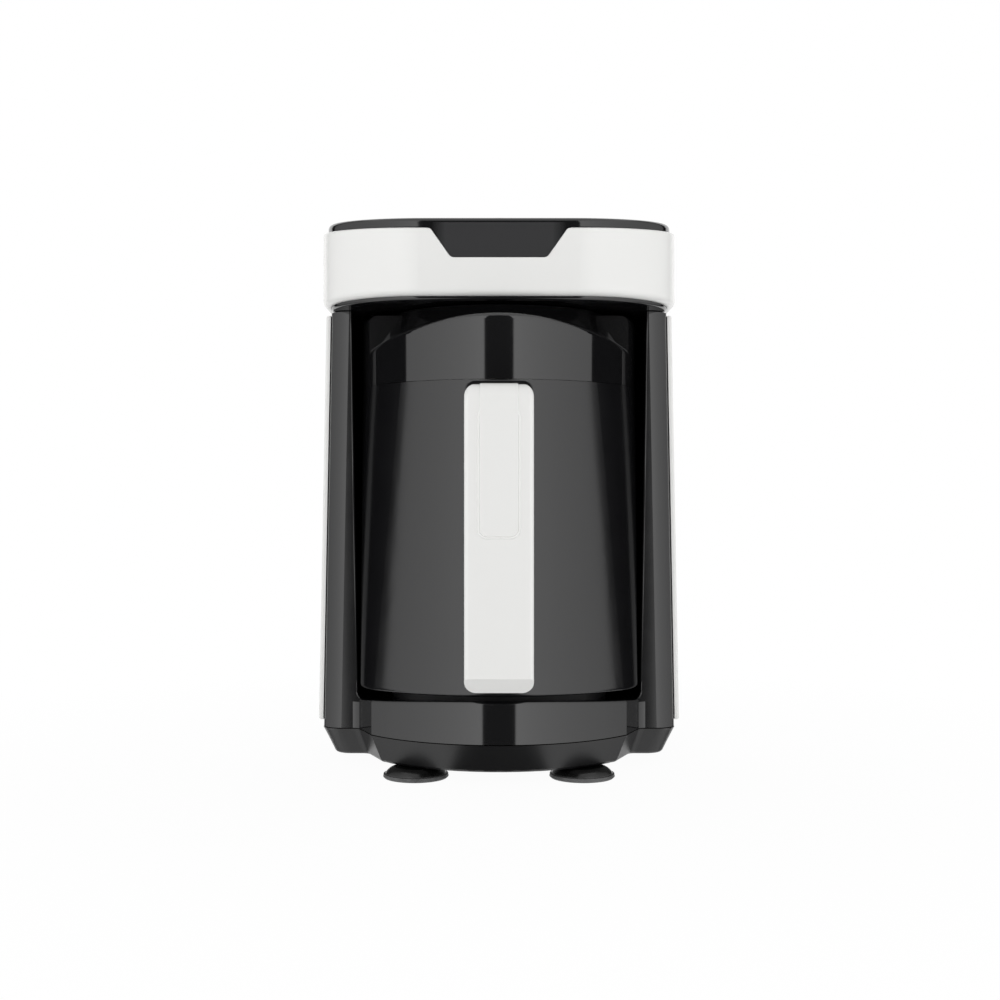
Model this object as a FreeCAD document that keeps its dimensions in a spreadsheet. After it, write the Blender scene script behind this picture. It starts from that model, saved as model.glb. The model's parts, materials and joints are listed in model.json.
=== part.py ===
import FreeCAD, Part
import math
import os
import Sketcher

# Electric coffee pot machine for fine-ground coffee, in millimetres.
# Origin: middle of the footprint, on the surface that the feet stand on.
# +X is the user's right, -Y points at the user, +Z is up.

Vector = FreeCAD.Vector
doc = FreeCAD.newDocument("CoffeeMaker")
sheet = doc.addObject("Spreadsheet::Sheet", "Sizes")

SIZES = [
    ("body_front_y", -15.0, "front plane of the two columns"),
    ("body_back_y", 97.6, "back edge of the housing"),
    ("body_half_low", 77.2, "half width of the housing at the seam"),
    ("body_lean", 3.4, "how far each side leans in up to the head"),
    ("column_edge_radius", 8.6, "outer front edge of a column"),
    ("rear_corner_radius", 22.0, "rear corners of housing and head"),
    ("seam_z", 16.7, "parting line between lower shell and housing"),
    ("seam_gap", 0.4, "gap on the parting line"),
    ("shell_bottom_z", 4.7, "underside of the lower shell"),
    ("shell_taper", 23.0, "degrees that the lower shell leans in"),
    ("shell_wall", 2.4, "wall of the lower shell"),
    ("shell_edge_radius", 2.0, "lower edge of the lower shell"),
    ("shell_rib_width", 14.0, "side and rear walls of the lower shell, with their ribs"),
    ("base_front_y", -57.6, "foremost point of the base"),
    ("base_arc_radius", 70.0, "plan radius of the base front"),
    ("base_corner_x", 53.9, "where the front arc meets the base side"),
    ("base_corner_y", -32.2, "depth of that corner"),
    ("base_root_x", 60.9, "where the base side meets the column face"),
    ("base_root_radius", 4.0, "concave blend from base side to column"),
    ("base_corner_radius", 1.6, "blend on the front corner of the base"),
    ("deck_z", 29.6, "level part of the deck under the pot"),
    ("deck_lip_z", 34.6, "height of the deck at its front lip"),
    ("deck_edge_radius", 1.3, "rounded front edge of the deck"),
    ("deck_thickness", 3.4, "wall of the deck"),
    ("opening_clearance", 0.7, "between the pot's foot and a column"),
    ("opening_lean", 2.8, "how much wider the opening is at its top, each side"),
    ("opening_corner_radius", 4.0, "lower corners of the opening"),
    ("opening_sink", 0.5, "the opening's lower edge lies under the deck"),
    ("opening_edge_radius", 0.8, "front edges of the opening"),
    ("column_depth", 8.0, "depth of the solid column face"),
    ("lip_step", 1.6, "the band's lower edge above the ceiling of the bay"),
    ("head_front_y", -51.0, "front face of the head"),
    ("head_half", 77.0, "half width of the head"),
    ("head_corner_radius", 44.0, "front corners of the head"),
    ("head_slope", 6.7, "degrees that the top falls to the front"),
    ("head_edge_radius", 2.6, "lower edge of the band"),
    ("band_wall", 3.2, "wall of the band"),
    ("band_height", 27.7, "height of the band at the front"),
    ("band_top_radius", 1.2, "upper outer edge of the band"),
    ("cover_thickness", 3.7, "top cover plate"),
    ("cover_gap", 0.2, "gap between cover and band"),
    ("cover_side_step", 2.2, "the cover is narrower than the band, each side"),
    ("cover_edge_radius", 2.2, "upper edge of the cover"),
    ("tongue_top_half", 28.2, "half width of the tongue at the cover"),
    ("tongue_low_half", 19.6, "half width of the tongue at its lower end"),
    ("tongue_drop", 12.2, "how far the tongue hangs down the band"),
    ("tongue_radius", 2.8, "lower corners of the tongue"),
    ("tongue_root_radius", 2.4, "upper corners of its cut-out in the band"),
    ("tongue_thickness", 2.4, "depth of the tongue"),
    ("rim_clearance", 1.0, "between the pot's rim and the ceiling"),
    ("ceiling_thickness", 2.6, "plate under the head"),
    ("ceiling_edge_radius", 1.5, "rounded lip of that plate"),
    ("fit_gap", 0.3, "gap between separate mouldings"),
    ("panel_thickness", 2.0, "side panels"),
    ("panel_front_y", -8.4, "front edge of a side panel"),
    ("panel_back_y", 74.0, "back edge of a side panel"),
    ("panel_low_z", 19.6, "lower edge of a side panel"),
    ("panel_top_gap", 1.3, "between a side panel and the head"),
    ("panel_edge_radius", 1.1, "outer edges of a side panel"),
    ("pot_axis_y", 5.0, "upright axis of the pot"),
    ("pot_radius", 61.0, "body radius where the collar starts"),
    ("pot_base_half", 60.7, "half width of the pot at its foot"),
    ("pot_base_reach", 61.5, "from the axis to the front of the pot's foot"),
    ("pot_front_radius", 78.0, "curved front and back of the pot's foot"),
    ("pot_side_radius", 300.0, "flattened sides of the pot's foot"),
    ("pot_corner_radius", 22.0, "corners of the pot's foot"),
    ("pot_stand_height", 6.4, "underside of the pot above the deck"),
    ("pot_foot_radius", 1.4, "lower edge of the pot"),
    ("collar_height", 32.1, "collar, from its lower edge to the rim"),
    ("collar_gap", 0.2, "line between pot shell and collar"),
    ("pot_height", 161.3, "pot from its underside to the rim"),
    ("rim_radius", 47.4, "outer radius at the rim"),
    ("mouth_radius", 45.0, "inner radius at the rim"),
    ("neck_height", 17.3, "height of the neck cone"),
    ("neck_slope", 33.0, "degrees that the neck leans in"),
    ("arch_drop", 4.8, "top of the arched shoulder below the rim"),
    ("arch_radius", 135.0, "radius of the arched shoulder"),
    ("arch_edge_radius", 2.6, "rounded edge of the arched shoulder"),
    ("spout_half", 24.5, "half width of a pouring spout"),
    ("spout_drop", 1.7, "top of a spout below the rim"),
    ("spout_edge_radius", 3.2, "upper outer edge of a spout"),
    ("spout_channel_radius", 24.0, "radius of the pouring channel"),
    ("spout_channel_drop", 7.1, "floor of the pouring channel below the rim"),
    ("vessel_radius", 56.6, "steel vessel, outside"),
    ("vessel_wall", 1.0, "sheet of the vessel"),
    ("vessel_floor_radius", 44.0, "flat of the vessel floor"),
    ("vessel_bend_height", 16.0, "where the vessel wall becomes upright, above the pot's underside"),
    ("vessel_shoulder_drop", 23.3, "where the vessel starts to narrow, below the pot's rim"),
    ("vessel_rim_drop", 8.5, "rim of the vessel below the pot's rim"),
    ("vessel_rim_radius", 46.6, "outer radius of that rim"),
    ("disc_radius", 45.4, "heat disc under the pot"),
    ("disc_thickness", 2.2, "heat disc under the pot"),
    ("handle_front_y", -100.0, "foremost face of the handle"),
    ("handle_half", 13.1, "half width of the handle"),
    ("handle_lift", 7.0, "lower end of the handle above the pot's underside"),
    ("handle_length", 117.0, "length of the handle"),
    ("handle_depth", 10.4, "depth of the white handle cover"),
    ("handle_bend_radius", 9.0, "top of the handle, seen from the side"),
    ("handle_heel_radius", 6.0, "bottom of the handle, seen from the side"),
    ("handle_shoulder_radius", 5.4, "top corners, seen from the front"),
    ("handle_corner_radius", 4.5, "bottom corners, seen from the front"),
    ("handle_edge_radius", 1.6, "long edges of the handle"),
    ("handle_top_margin", 0.5, "outline above the handle's top, so that its shoulders meet it at an angle"),
    ("bracket_thickness", 4.4, "spine of the handle bracket"),
    ("bracket_margin", 1.1, "bracket seen around the handle's top"),
    ("bracket_arm_height", 13.0, "each arm of the bracket"),
    ("inlay_half", 7.3, "half width of the thumb inlay"),
    ("inlay_length", 57.8, "length of the thumb inlay down from the handle's top"),
    ("inlay_edge_radius", 0.35, "outer edges of the inlay"),
    ("inlay_thickness", 1.4, "thumb inlay"),
    ("inlay_proud", 0.4, "inlay stands proud of the handle"),
    ("inlay_radius", 3.0, "lower corners of the inlay"),
    ("liner_half", 66.0, "inner half width of the bay around the pot"),
    ("liner_back_y", 71.5, "inner back face of the bay"),
    ("liner_corner_radius", 34.0, "rear corners of the bay"),
    ("liner_wall", 2.4, "wall of the bay liner"),
    ("bay_wall", 2.6, "housing wall behind the liner"),
    ("electronics_half", 50.0, "half width of the space behind the bay"),
    ("rear_cover_thickness", 2.4, "rear cover plate"),
    ("rear_cover_half", 54.0, "half width of the rear cover"),
    ("rear_cover_low_z", 19.0, "lower edge of the rear cover"),
    ("rear_cover_top_gap", 3.9, "between the rear cover and the head"),
    ("vent_length", 44.0, "length of a rear vent slot"),
    ("vent_height", 2.4, "height of a rear vent slot"),
    ("vent_pitch", 6.0, "spacing of the rear vents"),
    ("vent_count", 7.0, "rear vents"),
    ("vent_low_z", 138.0, "lowest rear vent"),
    ("gland_z", 33.0, "height of the cord inlet"),
    ("gland_radius", 7.0, "cord inlet, outside"),
    ("gland_flange", 1.8, "flange of the cord inlet"),
    ("cord_hole_radius", 3.4, "hole for the mains cord"),
    ("foot_radius", 13.7, "rubber foot"),
    ("foot_front_x", 34.8, "front feet from the middle"),
    ("foot_front_y", -37.0, "front feet"),
    ("foot_rear_x", 50.0, "rear feet from the middle"),
    ("foot_rear_y", 70.0, "rear feet"),
    ("foot_stem_radius", 2.2, "stem of a foot in the lower shell"),
    ("foot_stem_top_z", 9.0, "top of that stem"),
    ("running_gap", 0.1, "gap round pins and stems"),
    ("heater_radius", 46.0, "heating plate"),
    ("heater_thickness", 2.6, "heating plate"),
    ("heater_neck_radius", 39.6, "neck of the heating plate in the deck"),
    ("heater_neck_z", 24.2, "lower end of that neck"),
    ("heater_skirt", 2.0, "wall of neck and skirt"),
    ("seal_thickness", 1.2, "silicone ring under the heating plate"),
    ("seal_lip", 1.5, "the ring's lip round the plate"),
    ("seal_lip_drop", 0.7, "that lip below the plate's top"),
    ("element_radius", 30.0, "middle radius of the heating element"),
    ("element_tube", 3.3, "radius of the element's tube"),
    ("thermostat_radius", 8.0, "thermostat under the heating plate"),
    ("button_radius", 13.0, "start button"),
    ("button_y", -22.0, "start button from the middle"),
    ("button_travel", 1.0, "travel of the start button"),
    ("button_proud", 1.3, "button above the cover"),
    ("button_gap", 0.25, "gap round the button"),
    ("ring_width", 2.2, "light ring round the button"),
    ("sensor_radius", 6.0, "window of the foam sensor"),
    ("board_thickness", 1.6, "circuit boards"),
    ("screw_radius", 1.6, "screw shank"),
    ("screw_head_radius", 3.0, "screw head"),
    ("screw_head_height", 2.0, "screw head"),
]


# What follows from them: where pieces stand on, fit in or line up with each other.
FOLLOWS = [
    ("body_half_high", "body_half_low - body_lean", "half width of the housing under the head"),
    ("opening_half_low", "pot_base_half + opening_clearance", "half width between the columns at the deck"),
    ("opening_half_high", "opening_half_low + opening_lean", "half width between the columns at the top"),
    ("pot_bottom_z", "deck_z + pot_stand_height", "underside of the pot"),
    ("rim_z", "pot_bottom_z + pot_height", "rim of the pot"),
    ("ceiling_z", "rim_z + rim_clearance", "underside of the head over the pot"),
    ("head_base_z", "ceiling_z + lip_step", "lower edge of the white band"),
    ("band_front_z", "head_base_z + band_height", "upper edge of the band at the front"),
    ("tongue_low_z", "band_front_z - tongue_drop", "lower end of the tongue"),
    ("panel_high_z", "ceiling_z - panel_top_gap", "upper edge of a side panel"),
    ("rear_cover_high_z", "head_base_z - rear_cover_top_gap", "upper edge of the rear cover"),
    ("collar_z", "rim_z - collar_height", "lower edge of the collar"),
    ("neck_low_z", "rim_z - neck_height", "lower end of the neck cone"),
    ("arch_crown_z", "rim_z - arch_drop", "top of the arched shoulder at the front"),
    ("spout_top_z", "rim_z - spout_drop", "top of a spout"),
    ("spout_channel_z", "rim_z - spout_channel_drop", "floor of the pouring channel"),
    ("vessel_bend_z", "pot_bottom_z + vessel_bend_height", "where the vessel wall becomes upright"),
    ("vessel_shoulder_z", "rim_z - vessel_shoulder_drop", "where the vessel starts to narrow"),
    ("vessel_rim_z", "rim_z - vessel_rim_drop", "rim of the vessel under the collar"),
    ("handle_low_z", "pot_bottom_z + handle_lift", "lower end of the handle"),
    ("handle_high_z", "handle_low_z + handle_length", "upper end of the handle"),
    ("inlay_low_z", "handle_high_z - inlay_length", "lower end of the thumb inlay"),
]


def fill_sheet():
    values = [(alias, str(value), note) for alias, value, note in SIZES]
    values += [(alias, "=" + formula, note) for alias, formula, note in FOLLOWS]
    for row, (alias, value, note) in enumerate(values, 1):
        sheet.set("A%d" % row, note)
        sheet.set("B%d" % row, value)
        sheet.setAlias("B%d" % row, alias)
    doc.recompute()


def named(text):
    """Put the sheet's name before each alias in an expression."""
    words = []
    word = ""
    for letter in text + " ":
        if letter.isalnum() or letter == "_" or (letter == "." and word[:1].isdigit()):
            word += letter
            continue
        if word in ALIASES:
            word = "Sizes." + word
        words.append(word + letter)
        word = ""
    return "".join(words).strip()


def size(text):
    return float(sheet.evalExpression(named(text)))


fill_sheet()
ALIASES = {alias for alias, value, note in SIZES + FOLLOWS}

FINISHED = []


def finish_node(shape_object, name):
    """The object is a finished sub-part: its label names its file."""
    shape_object.Label = name
    FINISHED.append(shape_object)
    return shape_object


def bind(target, prop, text):
    target.setExpression(prop, named(text))


# Primitives and booleans


def box(name, x, y, z):
    """A box between pairs of expressions."""
    solid = doc.addObject("Part::Box", name)
    for prop, place, (low, high) in (("Length", "x", x), ("Width", "y", y), ("Height", "z", z)):
        bind(solid, prop, "(%s) - (%s)" % (high, low))
        bind(solid, "Placement.Base." + place, low)
    return solid


TURNS = {
    "z": FreeCAD.Rotation(),
    "y": FreeCAD.Rotation(Vector(1, 0, 0), -90),
    "x": FreeCAD.Rotation(Vector(0, 1, 0), 90),
}


def place_round(solid, axis, foot, length):
    solid.Placement = FreeCAD.Placement(Vector(), TURNS[axis])
    for letter, text in zip("xyz", foot):
        bind(solid, "Placement.Base." + letter, text)
    bind(solid, "Height", length)
    return solid


def cylinder(name, radius, foot, length, axis="z"):
    solid = doc.addObject("Part::Cylinder", name)
    bind(solid, "Radius", radius)
    return place_round(solid, axis, foot, length)


def cone(name, radius_low, radius_high, foot, length):
    solid = doc.addObject("Part::Cone", name)
    bind(solid, "Radius1", radius_low)
    bind(solid, "Radius2", radius_high)
    return place_round(solid, "z", foot, length)


def fuse(name, *solids):
    joined = doc.addObject("Part::MultiFuse", name)
    joined.Shapes = list(solids)
    joined.Refine = True
    return joined


def cut(name, base, *tools):
    """Take the tools away one after another."""
    result = base
    for i, tool in enumerate(tools, 1):
        step = doc.addObject("Part::Cut", name if i == len(tools) else "%s_step_%d" % (name, i))
        step.Base = result
        step.Tool = tool
        step.Refine = i == len(tools)
        result = step
    return result


def common(name, first, second):
    result = doc.addObject("Part::Common", name)
    result.Base = first
    result.Tool = second
    result.Refine = True
    return result


def round_edges(name, base, radius, wanted):
    """Round every edge of the base that the test picks."""
    doc.recompute()
    chosen = [i for i, edge in enumerate(base.Shape.Edges, 1) if wanted(edge)]
    if not chosen:
        raise ValueError("no edge to round on " + name)
    rounded = doc.addObject("Part::Fillet", name)
    rounded.Base = base
    rounded.Edges = [(i, size(radius), size(radius)) for i in chosen]
    doc.recompute()
    if rounded.Shape.isNull():
        raise ValueError("rounding failed on " + name)
    return rounded


def is_upright(edge):
    ends = edge.Vertexes
    if len(ends) < 2:
        return False
    run = ends[1].Point - ends[0].Point
    return run.Length > 1 and abs(run.z) > 0.8 * run.Length


def near(first, second, slack=0.05):
    return abs(first - second) < slack


def all_at_z(edge, level, slack=0.05):
    bounds = edge.BoundBox
    return near(bounds.ZMin, level, slack) and near(bounds.ZMax, level, slack)


# Sketches


def origin_plane(body, role):
    return next(part for part in body.Origin.OriginFeatures if part.Role == role)


def turn_of(point, centre):
    return math.atan2(point.y - centre.y, point.x - centre.x)


def add_edge(sketch, start, end, bend):
    """Add one edge; a bend is (radius, side), side 1 for a centre on the left."""
    if bend is None:
        return sketch.addGeometry(Part.LineSegment(start, end)), 1, 2
    radius_text, side = bend
    radius = size(radius_text)
    chord = end - start
    half = chord.Length / 2
    left = Vector(-chord.y, chord.x, 0).normalize()
    centre = (start + end) * 0.5 + left * side * math.sqrt(radius * radius - half * half)
    circle = Part.Circle(centre, Vector(0, 0, 1), radius)
    first, last = (start, end) if side > 0 else (end, start)
    arc = Part.ArcOfCircle(circle, turn_of(first, centre), turn_of(last, centre))
    index = sketch.addGeometry(arc)
    rule = sketch.addConstraint(Sketcher.Constraint("Radius", index, radius))
    bind(sketch, "Constraints[%d]" % rule, radius_text)
    return (index, 1, 2) if side > 0 else (index, 2, 1)


def draw_profile(sketch, corners):
    """Closed outline through corners (x, y) or (x, y, bend to the next)."""
    points = [Vector(size(corner[0]), size(corner[1]), 0) for corner in corners]
    count = len(corners)
    ends = []
    for i, corner in enumerate(corners):
        bend = corner[2] if len(corner) > 2 else None
        ends.append(add_edge(sketch, points[i], points[(i + 1) % count], bend))
    for i in range(count):
        after = ends[(i + 1) % count]
        sketch.addConstraint(Sketcher.Constraint("Coincident", ends[i][0], ends[i][2], after[0], after[1]))
    for i, corner in enumerate(corners):
        edge, start, _ = ends[i]
        for kind, text, value in (("DistanceX", corner[0], points[i].x), ("DistanceY", corner[1], points[i].y)):
            rule = sketch.addConstraint(Sketcher.Constraint(kind, -1, 1, edge, start, value))
            bind(sketch, "Constraints[%d]" % rule, text)


def new_body(name):
    return doc.addObject("PartDesign::Body", name)


def new_sketch(body, name, role, corners, height="0"):
    sketch = body.newObject("Sketcher::SketchObject", name)
    sketch.AttachmentSupport = [(origin_plane(body, role), "")]
    sketch.MapMode = "FlatFace"
    bind(sketch, "AttachmentOffset.Base.z", height)
    draw_profile(sketch, corners)
    return sketch


def pad(body, name, sketch, length, both_ways=False, backwards=False):
    feature = body.newObject("PartDesign::Pad", name)
    feature.Profile = sketch
    bind(feature, "Length", length)
    feature.Midplane = both_ways
    feature.Reversed = backwards
    return feature


def prism_z(name, corners, low, high):
    """Body padded upwards from an outline in the XY plane."""
    body = new_body(name)
    pad(body, name + "_pad", new_sketch(body, name + "_outline", "XY_Plane", corners, low),
        "(%s) - (%s)" % (high, low))
    return body


def prism_y(name, corners, front, back):
    """Body padded backwards from an outline of (x, z) corners.

    The XZ plane's normal points to the front, so heights above it are negative y.
    """
    body = new_body(name)
    sketch = new_sketch(body, name + "_outline", "XZ_Plane", corners, "-(%s)" % front)
    pad(body, name + "_pad", sketch, "(%s) - (%s)" % (back, front), backwards=True)
    return body


def prism_x(name, corners, half):
    """Body padded both ways from an outline of (y, z) corners."""
    body = new_body(name)
    sketch = new_sketch(body, name + "_outline", "YZ_Plane", corners)
    pad(body, name + "_pad", sketch, "2 * (%s)" % half, both_ways=True)
    return body


def turned(name, corners, x="0", y="0"):
    """Body turned about an upright axis from an outline of (radius, z)."""
    body = new_body(name)
    sketch = new_sketch(body, name + "_outline", "XZ_Plane", corners)
    feature = body.newObject("PartDesign::Revolution", name + "_turn")
    feature.Profile = sketch
    feature.ReferenceAxis = (sketch, ["V_Axis"])
    feature.Angle = 360
    bind(body, "Placement.Base.x", x)
    bind(body, "Placement.Base.y", y)
    return body


def lofted(name, low_corners, low, high_corners, high):
    """Body lofted upwards between two outlines in level planes."""
    body = new_body(name)
    first = new_sketch(body, name + "_low", "XY_Plane", low_corners, low)
    second = new_sketch(body, name + "_high", "XY_Plane", high_corners, high)
    feature = body.newObject("PartDesign::AdditiveLoft", name + "_loft")
    feature.Profile = first
    feature.Sections = [second]
    feature.Ruled = True
    return body


def rectangle(left, right, low, high):
    return [(left, low), (right, low), (right, high), (left, high)]


def rounded_rectangle(left, right, low, high, low_radius, high_radius):
    """Rectangle whose lower and upper corners have their own radius."""
    quarter_low = (low_radius, 1)
    quarter_high = (high_radius, 1)
    return [
        ("(%s) + (%s)" % (left, low_radius), low),
        ("(%s) - (%s)" % (right, low_radius), low, quarter_low),
        (right, "(%s) + (%s)" % (low, low_radius)),
        (right, "(%s) - (%s)" % (high, high_radius), quarter_high),
        ("(%s) - (%s)" % (right, high_radius), high),
        ("(%s) + (%s)" % (left, high_radius), high, quarter_high),
        (left, "(%s) - (%s)" % (high, high_radius)),
        (left, "(%s) + (%s)" % (low, low_radius), quarter_low),
    ]


# Base, housing and head


def plan_with_base(half_width):
    """Plan of the machine at the seam, with the curved base in front."""
    return [
        ("-base_corner_x", "base_corner_y", ("base_arc_radius", 1)),
        ("base_corner_x", "base_corner_y"),
        ("base_root_x", "body_front_y"),
        (half_width, "body_front_y"),
        (half_width, "body_back_y"),
        ("-" + half_width, "body_back_y"),
        ("-" + half_width, "body_front_y"),
        ("-base_root_x", "body_front_y"),
    ]


def upright_at(x, y, slack):
    """Test for an upright edge near a place in plan, on either side."""
    def wanted(edge):
        if not is_upright(edge):
            return False
        middle = (edge.Vertexes[0].Point + edge.Vertexes[1].Point) * 0.5
        return near(abs(middle.x), x, slack) and near(middle.y, y, slack)
    return wanted


def round_plan_corners(name, solid, slack, labels):
    """Round chosen upright edges of a solid with the machine's plan."""
    corners = {
        "rear": ("rear_corner_radius", size("body_half_low"), size("body_back_y")),
        "edge": ("column_edge_radius", size("body_half_low"), size("body_front_y")),
        "root": ("base_root_radius", size("base_root_x"), size("body_front_y")),
        "nose": ("base_corner_radius", size("base_corner_x"), size("base_corner_y")),
    }
    for label in labels:
        radius, x, y = corners[label]
        solid = round_edges("%s_%s" % (name, label), solid, radius, upright_at(x, y, slack))
    return solid


def make_lower_shell():
    body = new_body("shell_blank")
    sketch = new_sketch(body, "shell_outline", "XY_Plane", plan_with_base("body_half_low"),
                        "seam_z - seam_gap / 2")
    tapered = pad(body, "shell_pad", sketch, "seam_z - seam_gap / 2 - shell_bottom_z", backwards=True)
    bind(tapered, "TaperAngle", "-shell_taper")
    blank = round_plan_corners("shell", body, 9, ("rear", "edge", "root", "nose"))
    doc.recompute()
    floor = size("shell_bottom_z")
    blank = round_edges("shell_low_edge", blank, "shell_edge_radius", lambda edge: all_at_z(edge, floor))
    inner = prism_z("shell_hollow", rectangle("-body_half_low + shell_rib_width", "body_half_low - shell_rib_width",
                                              "body_front_y + shell_rib_width", "body_back_y - shell_rib_width"),
                    "shell_bottom_z + shell_wall", "seam_z")
    nose_round = cylinder("shell_nose_round", "base_arc_radius - 6.2",
                          ("0", "base_front_y + base_arc_radius", "shell_bottom_z + shell_wall"),
                          "seam_z - shell_bottom_z")
    nose_box = box("shell_nose_box", ("-base_corner_x + 10", "base_corner_x - 10"), ("base_front_y", "body_front_y + shell_rib_width + 1"),
                   ("shell_bottom_z", "seam_z + 1"))
    nose = common("shell_nose_hollow", nose_round, nose_box)
    tools = [inner, nose] + foot_stem_holes() + base_screw_holes()
    finish_node(cut("lower_shell", blank, *tools), "lower_shell")


def foot_places():
    return [
        ("front_left", "-foot_front_x", "foot_front_y"),
        ("front_right", "foot_front_x", "foot_front_y"),
        ("rear_left", "-foot_rear_x", "foot_rear_y"),
        ("rear_right", "foot_rear_x", "foot_rear_y"),
    ]


def foot_stem_holes():
    return [cylinder("stem_hole_" + place, "foot_stem_radius + running_gap",
                     (x, y, "shell_bottom_z - 1"), "shell_wall + 2")
            for place, x, y in foot_places()]


def make_feet():
    """Squat rubber feet: a rim on the table, a domed top and a stem with a knob."""
    profile = [
        ("0", "1.2"),
        ("foot_radius - 4.2", "0.9"),
        ("foot_radius - 3.2", "0"),
        ("foot_radius - 0.6", "0"),
        ("foot_radius", "0.6"),
        ("foot_radius - 0.2", "1.7"),
        ("foot_radius - 0.9", "1.9", ("6", 1)),
        ("foot_radius - 4.5", "shell_bottom_z - 0.1"),
        ("foot_stem_radius", "shell_bottom_z - 0.1"),
        ("foot_stem_radius", "shell_bottom_z + shell_wall"),
        ("foot_stem_radius + 0.9", "shell_bottom_z + shell_wall + 0.1"),
        ("foot_stem_radius", "foot_stem_top_z"),
        ("0", "foot_stem_top_z"),
    ]
    for place, x, y in foot_places():
        finish_node(turned("foot_" + place, profile, x, y), "foot_" + place)


def base_screw_places():
    return [("-base_corner_x + 2", "8"), ("base_corner_x - 2", "8"), ("-26", "78"), ("26", "78")]


def base_screw_holes():
    holes = []
    for i, (x, y) in enumerate(base_screw_places()):
        holes.append(cylinder("base_screw_hole_%d" % i, "screw_radius + running_gap",
                              (x, y, "shell_bottom_z - 1"), "shell_wall + 2"))
        holes.append(cylinder("base_screw_sink_%d" % i, "screw_head_radius + fit_gap",
                              (x, y, "shell_bottom_z - 1"), "1 + shell_wall / 2"))
    return holes


def screw(name, foot, length, axis):
    """Pan-head screw: the head is at the foot, the shank runs on along the axis."""
    step = {"x": ("screw_head_height", "0", "0"), "y": ("0", "screw_head_height", "0"),
            "z": ("0", "0", "screw_head_height")}[axis]
    shank_foot = tuple("(%s) + %s" % (a, b) for a, b in zip(foot, step))
    head = cylinder(name + "_head", "screw_head_radius", foot, "screw_head_height", axis)
    shank = cylinder(name + "_shank", "screw_radius", shank_foot, length, axis)
    slot_low = {"x": ("-0.1", "0.6"), "y": ("-0.1", "0.6"), "z": ("-0.1", "0.6")}[axis]
    sides = [("-screw_head_radius * 0.6", "screw_head_radius * 0.6"), ("-0.4", "0.4")]
    crosses = []
    for turn in (0, 1):
        spans = list(sides if turn == 0 else reversed(sides))
        spans.insert("xyz".index(axis), slot_low)
        ranges = [("(%s) + (%s)" % (f, low), "(%s) + (%s)" % (f, high))
                  for f, (low, high) in zip(foot, spans)]
        crosses.append(box("%s_cross_%d" % (name, turn), *ranges))
    return cut(name, fuse(name + "_blank", head, shank), *crosses)


def make_base_screws():
    screws = [screw("base_screw_%d" % i, (x, y, "shell_bottom_z + shell_wall / 2 - screw_head_height"), "9", "z")
              for i, (x, y) in enumerate(base_screw_places())]
    group = doc.addObject("Part::Compound", "base_screws")
    group.Links = screws
    finish_node(group, "base_screws")


def tower_outline(half_width):
    return rounded_rectangle("-" + half_width, half_width, "body_front_y", "body_back_y",
                             "column_edge_radius", "rear_corner_radius")


def deck_cutter():
    """Everything above the deck: level under the pot, rising to the front lip."""
    return prism_x("deck_cutter", [
        ("base_front_y - 5", "deck_lip_z + (deck_lip_z - deck_z) * 5 / (body_front_y - base_front_y)"),
        ("body_front_y", "deck_z"),
        ("body_front_y + column_depth", "deck_z"),
        ("body_front_y + column_depth", "head_base_z"),
        ("base_front_y - 5", "head_base_z"),
    ], "base_root_x + 4")


def make_housing():
    """Columns, base and rear tower in one moulding, open at the back."""
    low = "seam_z + seam_gap / 2"
    tower = lofted("tower", tower_outline("body_half_low"), low,
                   tower_outline("body_half_high"), "ceiling_z - fit_gap")
    base = prism_z("base_block", [
        ("-base_corner_x", "base_corner_y", ("base_arc_radius", 1)),
        ("base_corner_x", "base_corner_y"),
        ("base_root_x", "body_front_y"),
        ("base_root_x", "body_front_y + column_depth"),
        ("-base_root_x", "body_front_y + column_depth"),
        ("-base_root_x", "body_front_y"),
    ], low, "deck_lip_z + 1")
    tower = cut("tower_open", tower, opening_cutter())
    tower = round_edges("opening_edge", tower, "opening_edge_radius", is_opening_edge)
    base = cut("base_sloped", base, deck_cutter())
    base = round_plan_corners("base", base, 2.2, ("nose",))
    base = round_edges("base_lip", base, "deck_edge_radius", is_deck_edge)
    blank = fuse("housing_core", tower, base)
    for i, blend in enumerate(root_blends(low)):
        blank = fuse("housing_blended_%d" % i, blank, blend)
    bay = prism_z("bay", bay_outline("liner_wall + fit_gap", "body_front_y + column_depth"),
                  "deck_z", "head_base_z")
    heater_well = cylinder("heater_well", "heater_radius + 2 * fit_gap + seal_lip", ("0", "pot_axis_y", "deck_z"), "10")
    back_space = box("electronics_space", ("-electronics_half", "electronics_half"),
                     ("liner_back_y + liner_wall + fit_gap + bay_wall", "body_back_y + 1"),
                     ("seam_z", "head_base_z"))
    under_round = cylinder("heater_space", "heater_radius + 5", ("0", "pot_axis_y", "seam_z - 1"),
                           "deck_z - deck_thickness - seam_z + 1")
    under_back = box("cable_space", ("-electronics_half", "electronics_half"), ("pot_axis_y", "body_back_y - 4"),
                     ("seam_z - 1", "deck_z - deck_thickness"))
    neck_hole = cylinder("heater_hole", "heater_neck_radius + fit_gap",
                         ("0", "pot_axis_y", "seam_z"), "deck_z - seam_z + 1")
    finish_node(cut("main_housing", blank, bay, heater_well, back_space, under_round, under_back, neck_hole),
                "main_housing")


def bay_outline(grow, front):
    """Plan of the bay: open to the front, rounded corners at the back."""
    half = "(liner_half + %s)" % grow
    back = "(liner_back_y + %s)" % grow
    radius = "(liner_corner_radius + %s)" % grow
    return [
        ("-" + half, front),
        (half, front),
        (half, "%s - %s" % (back, radius), (radius, 1)),
        ("%s - %s" % (half, radius), back),
        ("-%s + %s" % (half, radius), back, (radius, 1)),
        ("-" + half, "%s - %s" % (back, radius)),
    ]


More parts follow.
